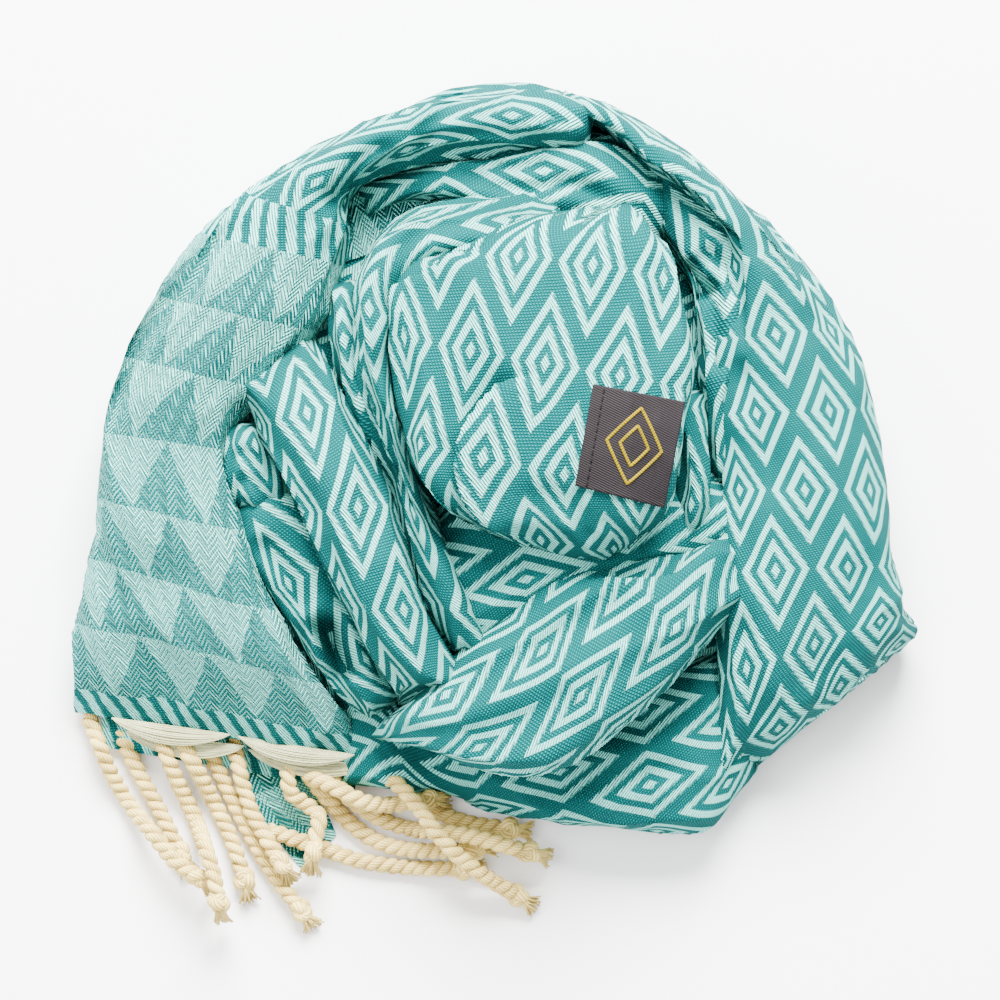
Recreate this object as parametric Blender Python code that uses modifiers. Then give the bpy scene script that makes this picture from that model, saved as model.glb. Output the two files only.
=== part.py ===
"""Fringed cotton bath towel (peshtemal), folded double and coiled into a loose bundle on a table.

Units are metres, +Z is up, and the bundle stands on z = 0 with its centre over the origin.
The fringed end lies towards -X -Y. The topmost fold, with the sewn label, is a little right of the middle.
"""

import math

import bmesh
import bpy
import numpy as np
from mathutils import Matrix, Vector
from mathutils.bvhtree import BVHTree

MM = 0.001

# Driving dimensions
BUNDLE_WIDTH = 0.328            # the coil's size along X, without its tassels
PLAN_WIDTH = 328.0              # the same size in the tables below, which are in millimetres
UNIT = BUNDLE_WIDTH / PLAN_WIDTH
GAP = 0.3 * MM                  # kept between pieces that rest on each other
STEPS_PER_SPAN = 4              # sections of a fold between two rows of its table
SECTION_SIDES = 24
SECTION_POWER = 2.4             # 2 would be an ellipse; a little more looks like stuffed cloth
SECTION_MIDDLE = 0.42           # height of a fold's widest line, as a share of its thickness
VOXEL = 4.0 * MM                # grain of the one skin that wraps all the folds
CLOTH_DETAIL = 0.13             # share of that skin's triangles that is kept
BELOW_TABLE = -4.0              # millimetres; folds that lie on the table are cut off flat at z = 0

LABEL_WIDTH = 36.0 * MM
LABEL_HEIGHT = 40.0 * MM
LABEL_THICKNESS = 0.8 * MM
LABEL_LIFT = 1.0 * MM           # from the cloth to the label's underside
LABEL_LOOK_ROUND = 1.5 * MM
LABEL_CENTRE = (53.2 * MM, 4.3 * MM)
LABEL_TURN = math.radians(-10.0)
LABEL_CELLS = (14, 14)
LABEL_SEAM_INSET = 4.5 * MM
THREAD_RADIUS = 0.4 * MM
MOTIF_HALF_SIZES = {"label_motif_outer": (10.5 * MM, 14.0 * MM), "label_motif_inner": (5.5 * MM, 7.5 * MM)}
MOTIF_POINTS_PER_SIDE = 5

TASSEL_RADIUS = 3.1 * MM
TASSEL_POINT_SPACING = 6.5 * MM
TASSEL_BEVEL_RESOLUTION = 2     # 8 sides
TASSEL_DROP = 26.0 * MM         # run over which a tassel comes down from the towel's edge
HUMP_REACH = 17.0 * MM          # half the run over which a tassel climbs over another one
HUMP_CREST = 0.2                # share of that reach that is level
LAY_STEP = 1.5 * MM
LAY_CLEARANCE = 0.8 * MM
KNOT_LENGTH = 12.0 * MM
KNOT_GAP = 0.6 * MM
KNOT_RADIUS = 5.0 * MM
BUNCH_LENGTH = 45.0 * MM
BUNCH_DEPTH = 5.6 * MM
BUNCH_HEIGHT = 4.4 * MM
ABOVE_EVERYTHING = 1.0

# Each fold is a tube of cloth, given by rows of
# (left x, left y, right x, right y, lowest z, highest z) in millimetres, along its run.
FOLDS = {
    "end_panel_and_arch": [
        (-163, -100, -47, -118, BELOW_TABLE, 20),
        (-161, -82, -51, -102, BELOW_TABLE, 34),
        (-159, -55, -72, -80, BELOW_TABLE, 44),
        (-155, -27, -92, -46, BELOW_TABLE, 50),
        (-152, 0, -102, -8, BELOW_TABLE, 53),
        (-148, 22, -98, 14, BELOW_TABLE, 55),
        (-141, 44, -84, 29, BELOW_TABLE, 57),
        (-131, 63, -66, 48, BELOW_TABLE, 60),
        (-118, 81, -58, 68, BELOW_TABLE, 62),
        (-101, 98, -56, 86, BELOW_TABLE, 64),
        (-82, 111, -58, 98, BELOW_TABLE, 66),
        (-60, 124, -51, 106, BELOW_TABLE, 69),
        (-40, 134, -38, 111, BELOW_TABLE, 71),
        (-20, 142.5, -19, 117, BELOW_TABLE, 72),
        (2, 145, 1, 119, BELOW_TABLE, 71),
        (22, 143, 21, 120, BELOW_TABLE, 67),
        (40, 137, 38, 118, BELOW_TABLE, 60),
    ],
    "right_band": [
        (26, 141.5, 28, 130, BELOW_TABLE, 52),
        (43, 137, 43, 124, BELOW_TABLE, 65),
        (60, 129, 54, 114, BELOW_TABLE, 70),
        (80, 115.5, 66, 102, BELOW_TABLE, 73),
        (101, 97, 82, 88, BELOW_TABLE, 74),
        (118, 80, 88, 70, BELOW_TABLE, 74),
        (131, 62, 84, 54, BELOW_TABLE, 73),
        (142, 42, 81, 37, BELOW_TABLE, 72),
        (149, 20, 83, 17, BELOW_TABLE, 71),
        (154, -5, 86, -6, BELOW_TABLE, 69),
        (157.5, -30, 88, -30, BELOW_TABLE, 67),
        (161, -52, 89, -60, BELOW_TABLE, 64),
        (163, -63, 87, -95, BELOW_TABLE, 56),
        (163.5, -68, 83, -124, BELOW_TABLE, 42),
        (161, -73, 80, -141, BELOW_TABLE, 20),
    ],
    "inner_right_ridge": [
        (66, 118, 55, 112, BELOW_TABLE, 48),
        (82, 104, 58, 97, BELOW_TABLE, 56),
        (94, 89, 66, 84, BELOW_TABLE, 60),
        (99, 70, 76, 66, BELOW_TABLE, 62),
        (97, 50, 79, 48, BELOW_TABLE, 63),
        (95, 30, 80, 28, BELOW_TABLE, 62),
        (95, 8, 83, 6, BELOW_TABLE, 58),
        (95, -12, 87, -12, BELOW_TABLE, 52),
    ],
    "inner_arch": [
        (-24, 114, -22, 103, BELOW_TABLE, 46),
        (-6, 121, -6, 98, BELOW_TABLE, 57),
        (20, 123, 18, 94, BELOW_TABLE, 61),
        (42, 121, 38, 91, BELOW_TABLE, 61),
        (60, 112, 54, 88, BELOW_TABLE, 56),
    ],
    "ridge_round_pad": [
        (32, 102, 30, 86, BELOW_TABLE, 66),
        (10, 102, 9, 82, BELOW_TABLE, 74),
        (-13, 101, -10, 76, BELOW_TABLE, 80),
        (-33, 96, -24, 74, BELOW_TABLE, 84),
        (-47, 85, -33, 68, BELOW_TABLE, 86),
        (-54, 69, -38, 58, BELOW_TABLE, 87),
        (-54, 50, -37, 42, BELOW_TABLE, 88),
        (-53, 30, -34, 22, BELOW_TABLE, 88),
        (-48, 9, -30, 3, BELOW_TABLE, 86),
        (-42, -10, -25, -16, BELOW_TABLE, 82),
        (-37, -28, -18, -34, BELOW_TABLE, 76),
        (-31, -45, -11, -51, BELOW_TABLE, 70),
        (-24, -61, -4, -67, BELOW_TABLE, 63),
        (-17, -77, 2, -80, BELOW_TABLE, 55),
    ],
    "left_strap": [
        (-106, 27, -75, 53, BELOW_TABLE, 42),
        (-97, 17, -66, 41, BELOW_TABLE, 62),
        (-90, 5, -57, 27, BELOW_TABLE, 72),
        (-81, -9, -50, 11, BELOW_TABLE, 78),
        (-75, -22, -43, -6, BELOW_TABLE, 80),
        (-69, -37, -37, -24, BELOW_TABLE, 80),
        (-62, -53, -31, -43, BELOW_TABLE, 77),
        (-54, -69, -24, -60, BELOW_TABLE, 72),
        (-45, -85, -14, -76, BELOW_TABLE, 66),
        (-37, -97, -5, -90, BELOW_TABLE, 58),
    ],
    "narrow_left_ridge": [
        (-63, 68, -55, 70, BELOW_TABLE, 44),
        (-63, 50, -53, 52, BELOW_TABLE, 58),
        (-60, 34, -51, 35, BELOW_TABLE, 62),
        (-54, 18, -47, 18, BELOW_TABLE, 60),
        (-47, 2, -42, 2, BELOW_TABLE, 52),
    ],
    "upper_crumple": [
        (-101, 16, -90, 14, BELOW_TABLE, 44),
        (-104, 5, -84, 4, BELOW_TABLE, 52),
        (-102, -9, -78, -10, BELOW_TABLE, 52),
        (-97, -20, -74, -24, BELOW_TABLE, 42),
    ],
    "lower_crumple": [
        (-101, -18, -84, -14, BELOW_TABLE, 40),
        (-98, -34, -68, -24, BELOW_TABLE, 48),
        (-88, -55, -60, -42, BELOW_TABLE, 50),
        (-75, -75, -54, -62, BELOW_TABLE, 48),
        (-61, -91, -44, -80, BELOW_TABLE, 46),
        (-48, -104, -34, -93, BELOW_TABLE, 40),
    ],
    "base_layer": [
        (-24, -110, -19, -131, BELOW_TABLE, 20),
        (-8, -98, -5, -138, BELOW_TABLE, 29),
        (15, -92, 15, -140.5, BELOW_TABLE, 33),
        (38, -86, 38, -142.5, BELOW_TABLE, 35),
        (62, -78, 62, -144.5, BELOW_TABLE, 36),
        (88, -72, 84, -144, BELOW_TABLE, 34),
        (112, -68, 104, -122, BELOW_TABLE, 24),
    ],
    "inner_floor": [
        (-32, -28, -22, -72, BELOW_TABLE, 54),
        (-12, -12, -4, -78, BELOW_TABLE, 61),
        (10, -10, 14, -70, BELOW_TABLE, 64),
        (34, -10, 36, -60, BELOW_TABLE, 64),
        (58, -8, 58, -52, BELOW_TABLE, 62),
        (80, -6, 82, -42, BELOW_TABLE, 58),
        (96, -8, 98, -34, BELOW_TABLE, 48),
    ],
    "bottom_strap": [
        (-43, -103, -48, -110, 16, 36),
        (-33, -94, -38, -114, 20, 56),
        (-18, -82, -18, -120, 24, 68),
        (-2, -70, 2, -124, 26, 74),
        (13, -58, 22, -123, 27, 77),
        (28, -47, 42, -113, 27, 78),
        (45, -42, 60, -98, 26, 77),
        (65, -38, 76, -80, 25, 74),
        (82, -30, 89, -65, 24, 67),
        (98, -25, 104, -54, 22, 52),
    ],
    "curl_beside_pad": [
        (73, 26, 82, 26, 20, 56),
        (70, 6, 84, 7, 20, 66),
        (69, -11, 87, -10, 20, 69),
        (70, -24, 85, -26, 20, 64),
        (75, -33, 81, -34, 20, 48),
    ],
    "pad": [
        (6, 92, 46, 98, 60, 76),
        (-24, 81, 58, 93, 64, 89),
        (-37, 72, 68, 79, 66, 96),
        (-41, 60, 75, 62, 67, 99),
        (-40, 42, 77.5, 44, 68, 101),
        (-37, 22, 77, 25, 68, 102),
        (-34, 6, 74, 4, 68, 102),
        (-28, -8, 70, -14, 68, 100),
        (-15, -20, 65, -26, 66, 96),
        (2, -30, 58, -33, 64, 90),
        (16, -36, 51, -37.5, 62, 82),
        (32, -39, 44, -40, 60, 72),
    ],
    "core": [
        (-112, -70, -60, -98, BELOW_TABLE, 20),
        (-118, -20, -20, -88, BELOW_TABLE, 26),
        (-118, 40, 60, -88, BELOW_TABLE, 30),
        (-84, 92, 108, -60, BELOW_TABLE, 30),
        (-30, 112, 116, 0, BELOW_TABLE, 28),
        (30, 116, 104, 60, BELOW_TABLE, 22),
    ],
}

# Each tassel's run in plan, in millimetres, from the towel's edge to its knot, and the height it leaves at.
# They are listed from the lowest on the table to the topmost, which is the order in which they are laid.
TASSELS = [
    ("tassel_01", 4.0, [(-76, -150), (-64, -154), (-52, -158), (-39, -160), (-27, -161), (-18, -161)]),
    ("tassel_02", 4.5, [(-141, -118), (-137, -126), (-132, -135), (-128, -143), (-125, -149)]),
    ("tassel_03", 4.5, [(-108, -121), (-103, -131), (-97, -143), (-90, -156), (-83, -167), (-79, -172)]),
    ("tassel_04", 4.5, [(-30, -133), (-21, -139), (-10, -143), (0, -144.5)]),
    ("tassel_05", 10.0, [(-154, -112), (-149, -124), (-142, -136), (-133, -147), (-125, -157), (-121, -160)]),
    ("tassel_06", 13.0, [(-128, -115), (-123, -127), (-117, -140), (-112, -153), (-109, -162), (-108, -167)]),
    ("tassel_07", 13.0, [(-119, -116), (-113, -127), (-107, -139), (-102, -150), (-99, -159)]),
    ("tassel_08", 10.0, [(-99, -122), (-97, -130), (-94, -139), (-89, -148), (-86, -153)]),
    ("tassel_09", 7.0, [
        (-72, -124), (-66, -132), (-57, -142), (-46, -150), (-34, -153.5), (-22, -154), (-14, -153.5),
    ]),
    ("tassel_10", 7.0, [
        (-62, -127), (-54, -135), (-44, -141.5), (-32, -145.5), (-20, -146.5), (-8, -148), (8, -152.5),
    ]),
    ("tassel_11", 12.0, [(-80, -125), (-79, -131), (-74, -135), (-68, -140), (-69, -148)]),
    ("tassel_12", 9.0, [(-62, -129), (-56, -132), (-49, -135), (-41, -136), (-32, -135)]),
    ("tassel_13", 16.0, [
        (-46, -122), (-38, -127), (-30, -135), (-23, -145), (-14, -155), (-4, -163), (4, -168),
    ]),
]

# Bunches of loose warp at the towel's edge: centre x, y, z in millimetres and heading in degrees
WARP_BUNCHES = [
    ("warp_bunch_upper_left", -126.5, -109.7, 17.0, -8.0),
    ("warp_bunch_upper_right", -75.5, -118.2, 17.0, -9.0),
    ("warp_bunch_lower_left", -129.0, -112.0, 8.0, -6.0),
    ("warp_bunch_lower_right", -82.0, -118.0, 7.5, -7.0),
]

COLOURS = {
    "cloth": ((0.10, 0.46, 0.46, 1.0), 0.9),
    "label": ((0.12, 0.10, 0.11, 1.0), 0.8),
    "gold": ((0.72, 0.55, 0.10, 1.0), 0.55),
    "cord": ((0.85, 0.74, 0.50, 1.0), 0.9),
}


def material(name):
    """The named material, with its colour and roughness."""
    found = bpy.data.materials.get(name)
    if found:
        return found
    colour, roughness = COLOURS[name]
    made = bpy.data.materials.new(name)
    made.use_nodes = True
    shader = made.node_tree.nodes["Principled BSDF"]
    shader.inputs["Base Color"].default_value = colour
    shader.inputs["Roughness"].default_value = roughness
    shader.inputs["Metallic"].default_value = 0.0
    return made


def new_object(name, data, collection, material_name):
    """An object of this data in the collection, with one material."""
    made = bpy.data.objects.new(name, data)
    collection.objects.link(made)
    data.materials.append(material(material_name))
    return made


def curve_point(rows, place):
    """A point on the smooth curve through the rows, where place counts rows from 0."""
    i = min(int(place), len(rows) - 2)
    t = place - i
    before, a = rows[max(i - 1, 0)], rows[i]
    b, after = rows[i + 1], rows[min(i + 2, len(rows) - 1)]
    point = []
    for p0, p1, p2, p3 in zip(before, a, b, after):
        slope_1, slope_2 = (p2 - p0) / 2, (p3 - p1) / 2
        point.append(
            (2 * t**3 - 3 * t**2 + 1) * p1 + (t**3 - 2 * t**2 + t) * slope_1
            + (3 * t**2 - 2 * t**3) * p2 + (t**3 - t**2) * slope_2
        )
    return point


def fold_section(row):
    """The closed outline of one section of a fold, as points from its left edge over the top."""
    left_x, left_y, right_x, right_y, low, top = row
    middle = low + (top - low) * SECTION_MIDDLE
    points = []
    for side in range(SECTION_SIDES):
        angle = 2 * math.pi * side / SECTION_SIDES
        across = -math.copysign(abs(math.cos(angle)) ** (2 / SECTION_POWER), math.cos(angle))
        up = math.copysign(abs(math.sin(angle)) ** (2 / SECTION_POWER), math.sin(angle))
        share = (across + 1) / 2
        height = middle + up * (top - middle if up > 0 else middle - low)
        points.append(Vector((
            left_x + (right_x - left_x) * share,
            left_y + (right_y - left_y) * share,
            height,
        )) * UNIT)
    return points


def add_fold(mesh, rows):
    """Loft one closed fold through its rows into the mesh."""
    rings = []
    for step in range((len(rows) - 1) * STEPS_PER_SPAN + 1):
        section = fold_section(curve_point(rows, step / STEPS_PER_SPAN))
        rings.append([mesh.verts.new(point) for point in section])
    for ring, following in zip(rings, rings[1:]):
        for side in range(SECTION_SIDES):
            after = (side + 1) % SECTION_SIDES
            mesh.faces.new((ring[side], ring[after], following[after], following[side]))
    mesh.faces.new(rings[0])
    mesh.faces.new(rings[-1])


def cut_flat_at_table(mesh):
    """Cut off what lies below z = 0 and close the cut with one flat face."""
    everything = mesh.verts[:] + mesh.edges[:] + mesh.faces[:]
    cut = bmesh.ops.bisect_plane(
        mesh, geom=everything, dist=0.00001, plane_co=(0, 0, 0), plane_no=(0, 0, 1), clear_inner=True
    )
    rim = [piece for piece in cut["geom_cut"] if isinstance(piece, bmesh.types.BMEdge)]
    bmesh.ops.holes_fill(mesh, edges=rim, sides=0)


def keep_outer_skin(mesh):
    """Delete the small shells round air that is shut in between folds, and keep the largest."""
    unseen = set(mesh.verts)
    shells = []
    while unseen:
        edge_of_search = [unseen.pop()]
        shell = []
        while edge_of_search:
            vertex = edge_of_search.pop()
            shell.append(vertex)
            for edge in vertex.link_edges:
                other = edge.other_vert(vertex)
                if other in unseen:
                    unseen.remove(other)
                    edge_of_search.append(other)
        shells.append(shell)
    shells.sort(key=len)
    for shell in shells[:-1]:
        bmesh.ops.delete(mesh, geom=shell, context="VERTS")


def centre_in_plan(mesh):
    """Put the middle of the mesh's box over the origin."""
    middles = []
    for axis in range(2):
        values = [vertex.co[axis] for vertex in mesh.verts]
        middles.append((min(values) + max(values)) / 2)
    bmesh.ops.translate(mesh, verts=mesh.verts, vec=(-middles[0], -middles[1], 0))


def make_cloth(collection):
    """The towel: all folds wrapped in one closed skin that stands flat on the table."""
    data = bpy.data.meshes.new("towel_cloth")
    mesh = bmesh.new()
    for rows in FOLDS.values():
        add_fold(mesh, rows)
    bmesh.ops.recalc_face_normals(mesh, faces=mesh.faces)
    mesh.to_mesh(data)
    mesh.free()
    draft = new_object("towel_cloth_draft", data, collection, "cloth")

    wrap = draft.modifiers.new("one_skin", "REMESH")
    wrap.mode = "VOXEL"
    wrap.voxel_size = VOXEL
    thin = draft.modifiers.new("fewer_triangles", "DECIMATE")
    thin.ratio = CLOTH_DETAIL
    bpy.context.view_layer.update()
    evaluated = draft.evaluated_get(bpy.context.evaluated_depsgraph_get())
    skin = bpy.data.meshes.new_from_object(evaluated)
    bpy.data.objects.remove(draft)

    mesh = bmesh.new()
    mesh.from_mesh(skin)
    cut_flat_at_table(mesh)
    keep_outer_skin(mesh)
    bmesh.ops.triangulate(mesh, faces=mesh.faces)
    bmesh.ops.remove_doubles(mesh, verts=mesh.verts, dist=0.00002)
    bmesh.ops.recalc_face_normals(mesh, faces=mesh.faces)
    centre_in_plan(mesh)
    mesh.to_mesh(skin)
    mesh.free()
    skin.name = "towel_cloth"
    skin.shade_smooth()
    cloth = bpy.data.objects.new("towel_cloth", skin)
    collection.objects.link(cloth)
    return cloth


def surface_height(surface, x, y, reach=0.0):
    """Height of the highest surface over this place and over those within reach to its left and right."""
    places = [Vector((x + side * reach, y, ABOVE_EVERYTHING)) for side in (-1, 0, 1)]
    return max(surface.ray_cast(place, Vector((0, 0, -1)))[0].z for place in places)


def height_finder(made):
    """A search tree of an object's faces, for surface_height."""
    bpy.context.view_layer.update()
    return BVHTree.FromObject(made, bpy.context.evaluated_depsgraph_get())


def on_label(across, up):
    """The plan position of a point of the label, measured from its middle."""
    cosine, sine = math.cos(LABEL_TURN), math.sin(LABEL_TURN)
    return LABEL_CENTRE[0] + across * cosine - up * sine, LABEL_CENTRE[1] + across * sine + up * cosine


def make_label(collection, cloth):
    """The woven label: a thin patch that follows the cloth, bent down over the fold's edge on its right."""
    cloth_surface = height_finder(cloth)
    data = bpy.data.meshes.new("label")
    mesh = bmesh.new()
    columns, rows = LABEL_CELLS
    grid = []
    for row in range(rows + 1):
        for column in range(columns + 1):
            x, y = on_label((column / columns - 0.5) * LABEL_WIDTH, (row / rows - 0.5) * LABEL_HEIGHT)
            height = surface_height(cloth_surface, x, y, LABEL_LOOK_ROUND)
            grid.append(mesh.verts.new((x, y, height + LABEL_LIFT)))
    for row in range(rows):
        for column in range(columns):
            corner = row * (columns + 1) + column
            above = corner + columns + 1
            mesh.faces.new((grid[corner], grid[corner + 1], grid[above + 1], grid[above]))
    mesh.to_mesh(data)
    mesh.free()
    label = new_object("label", data, collection, "label")
    thickness = label.modifiers.new("thickness", "SOLIDIFY")
    thickness.thickness = LABEL_THICKNESS
    thickness.offset = 1.0
    return label


def tube(name, points, radius, collection, material_name, closed=False):
    """A tube along the points, as a curve with filled caps."""
    data = bpy.data.curves.new(name, "CURVE")
    data.dimensions = "3D"
    data.bevel_depth = radius
    data.bevel_resolution = TASSEL_BEVEL_RESOLUTION
    data.use_fill_caps = not closed
    spline = data.splines.new("POLY")
    spline.points.add(len(points) - 1)
    for target, point in zip(spline.points, points):
        target.co = (*point, 1.0)
    spline.use_cyclic_u = closed
    return new_object(name, data, collection, material_name)


def make_label_threads(collection, label):
    """The stitched seam beside the label's left edge, and its motif of two plain lozenges."""
    label_surface = height_finder(label)
    lift = THREAD_RADIUS + GAP

    def thread_point(across, up):
        x, y = on_label(across, up)
        return x, y, surface_height(label_surface, x, y) + lift

    across = LABEL_SEAM_INSET - LABEL_WIDTH / 2
    ends = LABEL_HEIGHT / 2 - 1.5 * MM
    cells = LABEL_CELLS[1]
    seam = [thread_point(across, ends * (2 * i / cells - 1)) for i in range(cells + 1)]
    tube("label_seam", seam, THREAD_RADIUS, collection, "gold")

    for name, (half_width, half_height) in MOTIF_HALF_SIZES.items():
        corners = [(half_width, 0), (0, half_height), (-half_width, 0), (0, -half_height)]
        outline = []
        for (x0, y0), (x1, y1) in zip(corners, corners[1:] + corners[:1]):
            for i in range(MOTIF_POINTS_PER_SIDE):
                share = i / MOTIF_POINTS_PER_SIDE
                outline.append(thread_point(x0 + (x1 - x0) * share, y0 + (y1 - y0) * share))
        tube(name, outline, THREAD_RADIUS, collection, "gold", closed=True)


def ellipsoid(name, centre, half_sizes, heading, collection):
    """A round lump of cotton with its long side level and along the heading."""
    data = bpy.data.meshes.new(name)
    mesh = bmesh.new()
    bmesh.ops.create_uvsphere(mesh, u_segments=10, v_segments=7, radius=1.0)
    bmesh.ops.rotate(mesh, verts=mesh.verts, matrix=Matrix.Rotation(math.pi / 2, 3, "Y"))
    bmesh.ops.scale(mesh, verts=mesh.verts, vec=half_sizes)
    mesh.to_mesh(data)
    mesh.free()
    data.shade_smooth()
    lump = new_object(name, data, collection, "cord")
    lump.rotation_euler.z = heading
    lump.location = centre
    return lump


def make_warp_bunches(collection):
    """Lens-shaped bunches of unwoven warp along the towel's edge."""
    half_sizes = (BUNCH_LENGTH / 2, BUNCH_DEPTH / 2, BUNCH_HEIGHT / 2)
    for name, x, y, z, heading in WARP_BUNCHES:
        ellipsoid(name, Vector((x, y, z)) * UNIT, half_sizes, math.radians(heading), collection)


def plan_run(route):
    """Points every LAY_STEP along the smooth plan curve through the route, and past its end for the knot."""
    fine = [curve_point(route, i / 40) for i in range(40 * (len(route) - 1) + 1)]
    fine = np.array(fine) * UNIT
    last_step = fine[-1] - fine[-2]
    knot_end = fine[-1] + last_step / np.linalg.norm(last_step) * (KNOT_LENGTH + KNOT_GAP)
    fine = np.vstack([fine, knot_end])
    run = np.concatenate([[0], np.cumsum(np.linalg.norm(np.diff(fine, axis=0), axis=1))])
    length = run[-2]
    stations = np.arange(0, run[-1], LAY_STEP)
    return stations, np.column_stack([np.interp(stations, run, fine[:, i]) for i in range(2)]), length


def lay_tassel(start_height, route, laid):
    """Rest one tassel on the table and on those laid before it, and return its line and its length.

    laid holds rows of x, y, z and radius for every earlier tassel and knot.
    """
    stations, plan, length = plan_run(route)
    radii = np.where(stations > length, KNOT_RADIUS, TASSEL_RADIUS)
    table = TASSEL_RADIUS + GAP
    needed = radii + GAP
    if len(laid):
        apart = np.linalg.norm(plan[:, None, :] - laid[None, :, :2], axis=2)
        clear = radii[:, None] + laid[None, :, 3] + LAY_CLEARANCE
        over = laid[None, :, 2] + np.sqrt(np.maximum(clear**2 - apart**2, 0))
        needed = np.maximum(needed, np.where(apart < clear, over, 0).max(axis=1))
    reach = np.abs(stations[:, None] - stations[None, :]) / HUMP_REACH
    slope = np.clip((reach - HUMP_CREST) / (1 - HUMP_CREST), 0, 1)
    hump = (1 + np.cos(math.pi * slope)) / 2
    heights = (table + (needed[None, :] - table) * hump).max(axis=1)
    come_down = np.clip(stations / TASSEL_DROP, 0, 1)
    start = max(start_height * UNIT - table, 0)
    heights = np.maximum(heights, table + start * (1 + np.cos(math.pi * come_down)) / 2)
    return np.column_stack([plan, heights, radii]), stations, length


def make_tassels(collection):
    """The twisted tassels with a knot at each end, laid one after another."""
    laid = np.empty((0, 4))
    for name, start_height, route in TASSELS:
        line, stations, length = lay_tassel(start_height, route, laid)
        laid = np.vstack([laid, line])
        count = round(length / TASSEL_POINT_SPACING)
        places = np.linspace(0, length, count + 1)
        points = np.column_stack([np.interp(places, stations, line[:, i]) for i in range(3)])
        tube(name, points, TASSEL_RADIUS, collection, "cord")

        middle = length + KNOT_GAP + KNOT_LENGTH / 2
        centre = Vector([np.interp(middle, stations, line[:, i]) for i in range(3)])
        direction = centre - Vector(points[-1])
        ellipsoid(
            name + "_knot", centre, (KNOT_LENGTH / 2, KNOT_RADIUS, KNOT_RADIUS),
            math.atan2(direction.y, direction.x), collection,
        )


def collection_named(name):
    """A new collection in the scene."""
    made = bpy.data.collections.new(name)
    bpy.context.scene.collection.children.link(made)
    return made


def main():
    for old in list(bpy.data.objects):
        bpy.data.objects.remove(old)
    towel = collection_named("bath_towel")
    cloth = make_cloth(towel)
    label = make_label(towel, cloth)
    make_label_threads(towel, label)
    make_warp_bunches(towel)
    make_tassels(towel)


main()
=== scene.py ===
"""Looks of the fringed cotton bath towel: woven cloth, twisted tassels, loose warp and a sewn label.

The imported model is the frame. Tables are in millimetres in its plan, and MM turns them into metres.
"""

import math

import bmesh
import bpy
import numpy as np
from mathutils import Matrix, Vector, noise
from mathutils.bvhtree import BVHTree


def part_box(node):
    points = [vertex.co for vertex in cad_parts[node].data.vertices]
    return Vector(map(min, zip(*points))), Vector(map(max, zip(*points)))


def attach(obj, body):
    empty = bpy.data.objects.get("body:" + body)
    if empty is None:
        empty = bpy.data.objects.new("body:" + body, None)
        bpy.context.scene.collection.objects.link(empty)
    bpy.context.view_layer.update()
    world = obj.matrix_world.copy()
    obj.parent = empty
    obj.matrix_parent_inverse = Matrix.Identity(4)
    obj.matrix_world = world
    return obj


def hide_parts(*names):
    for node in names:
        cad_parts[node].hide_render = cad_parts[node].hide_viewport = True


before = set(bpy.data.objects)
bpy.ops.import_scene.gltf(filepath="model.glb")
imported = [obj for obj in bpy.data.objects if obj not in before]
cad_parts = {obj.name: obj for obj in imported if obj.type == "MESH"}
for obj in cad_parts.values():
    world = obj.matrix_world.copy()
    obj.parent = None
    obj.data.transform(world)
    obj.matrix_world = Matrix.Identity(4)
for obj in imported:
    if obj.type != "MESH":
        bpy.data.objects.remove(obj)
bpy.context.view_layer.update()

MM = 0.001
CLOTH_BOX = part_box("towel_cloth")


# ---- camera

CAMERA_HEIGHT = 6.0
VIEW_CENTRE = (3 * MM, -16.7 * MM)
VIEW_WIDTH = 0.3885  # what the camera sees across, at half the bundle's height
SENSOR = 36.0


def make_camera():
    data = bpy.data.cameras.new("camera")
    data.sensor_width = SENSOR
    data.lens = SENSOR * (CAMERA_HEIGHT - CLOTH_BOX[1][2] / 2) / VIEW_WIDTH
    data.clip_end = 20.0
    camera = bpy.data.objects.new("camera", data)
    camera.location = (*VIEW_CENTRE, CAMERA_HEIGHT)
    bpy.context.scene.collection.objects.link(camera)
    bpy.context.scene.camera = camera


make_camera()


# ---- shared mesh helpers

CURVE_STEPS = 40  # points on each span of a smooth curve that is measured off
NEAR_UPRIGHT = 0.05  # sine of the angle from which a tube takes its side from another axis


def smooth_curve(rows, per_span):
    """Points on the smooth curve through the rows, per_span of them for each span."""
    rows = np.array(rows, float)
    padded = np.vstack([rows[0], rows, rows[-1]])
    slopes = (padded[2:] - padded[:-2]) / 2
    points = []
    for i in range(len(rows) - 1):
        t = np.arange(per_span)[:, None] / per_span
        points.append(
            (2 * t**3 - 3 * t**2 + 1) * rows[i] + (t**3 - 2 * t**2 + t) * slopes[i]
            + (3 * t**2 - 2 * t**3) * rows[i + 1] + (t**3 - t**2) * slopes[i + 1]
        )
    return np.vstack([*points, rows[-1:]])


def run_length(points):
    """Distance along a line of points, from its start to each of them."""
    return np.concatenate([[0], np.cumsum(np.linalg.norm(np.diff(points, axis=0), axis=1))])


def resample(points, places, run=None):
    """The values of the points' columns at these distances along their run."""
    run = run_length(points) if run is None else run
    return np.column_stack([np.interp(places, run, column) for column in points.T])


def grid_faces(rows, columns, closed=False, first=0):
    """Quads of a grid of points stored row by row; closed joins each row's end to its start."""
    quads_in_row = columns if closed else columns - 1
    row, column = np.meshgrid(np.arange(rows - 1), np.arange(quads_in_row), indexing="ij")
    here, beyond = row * columns, (row + 1) * columns
    after = (column + 1) % columns
    corners = [here + column, here + after, beyond + after, beyond + column]
    return np.stack(corners, axis=-1).reshape(-1, 4) + first


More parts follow.
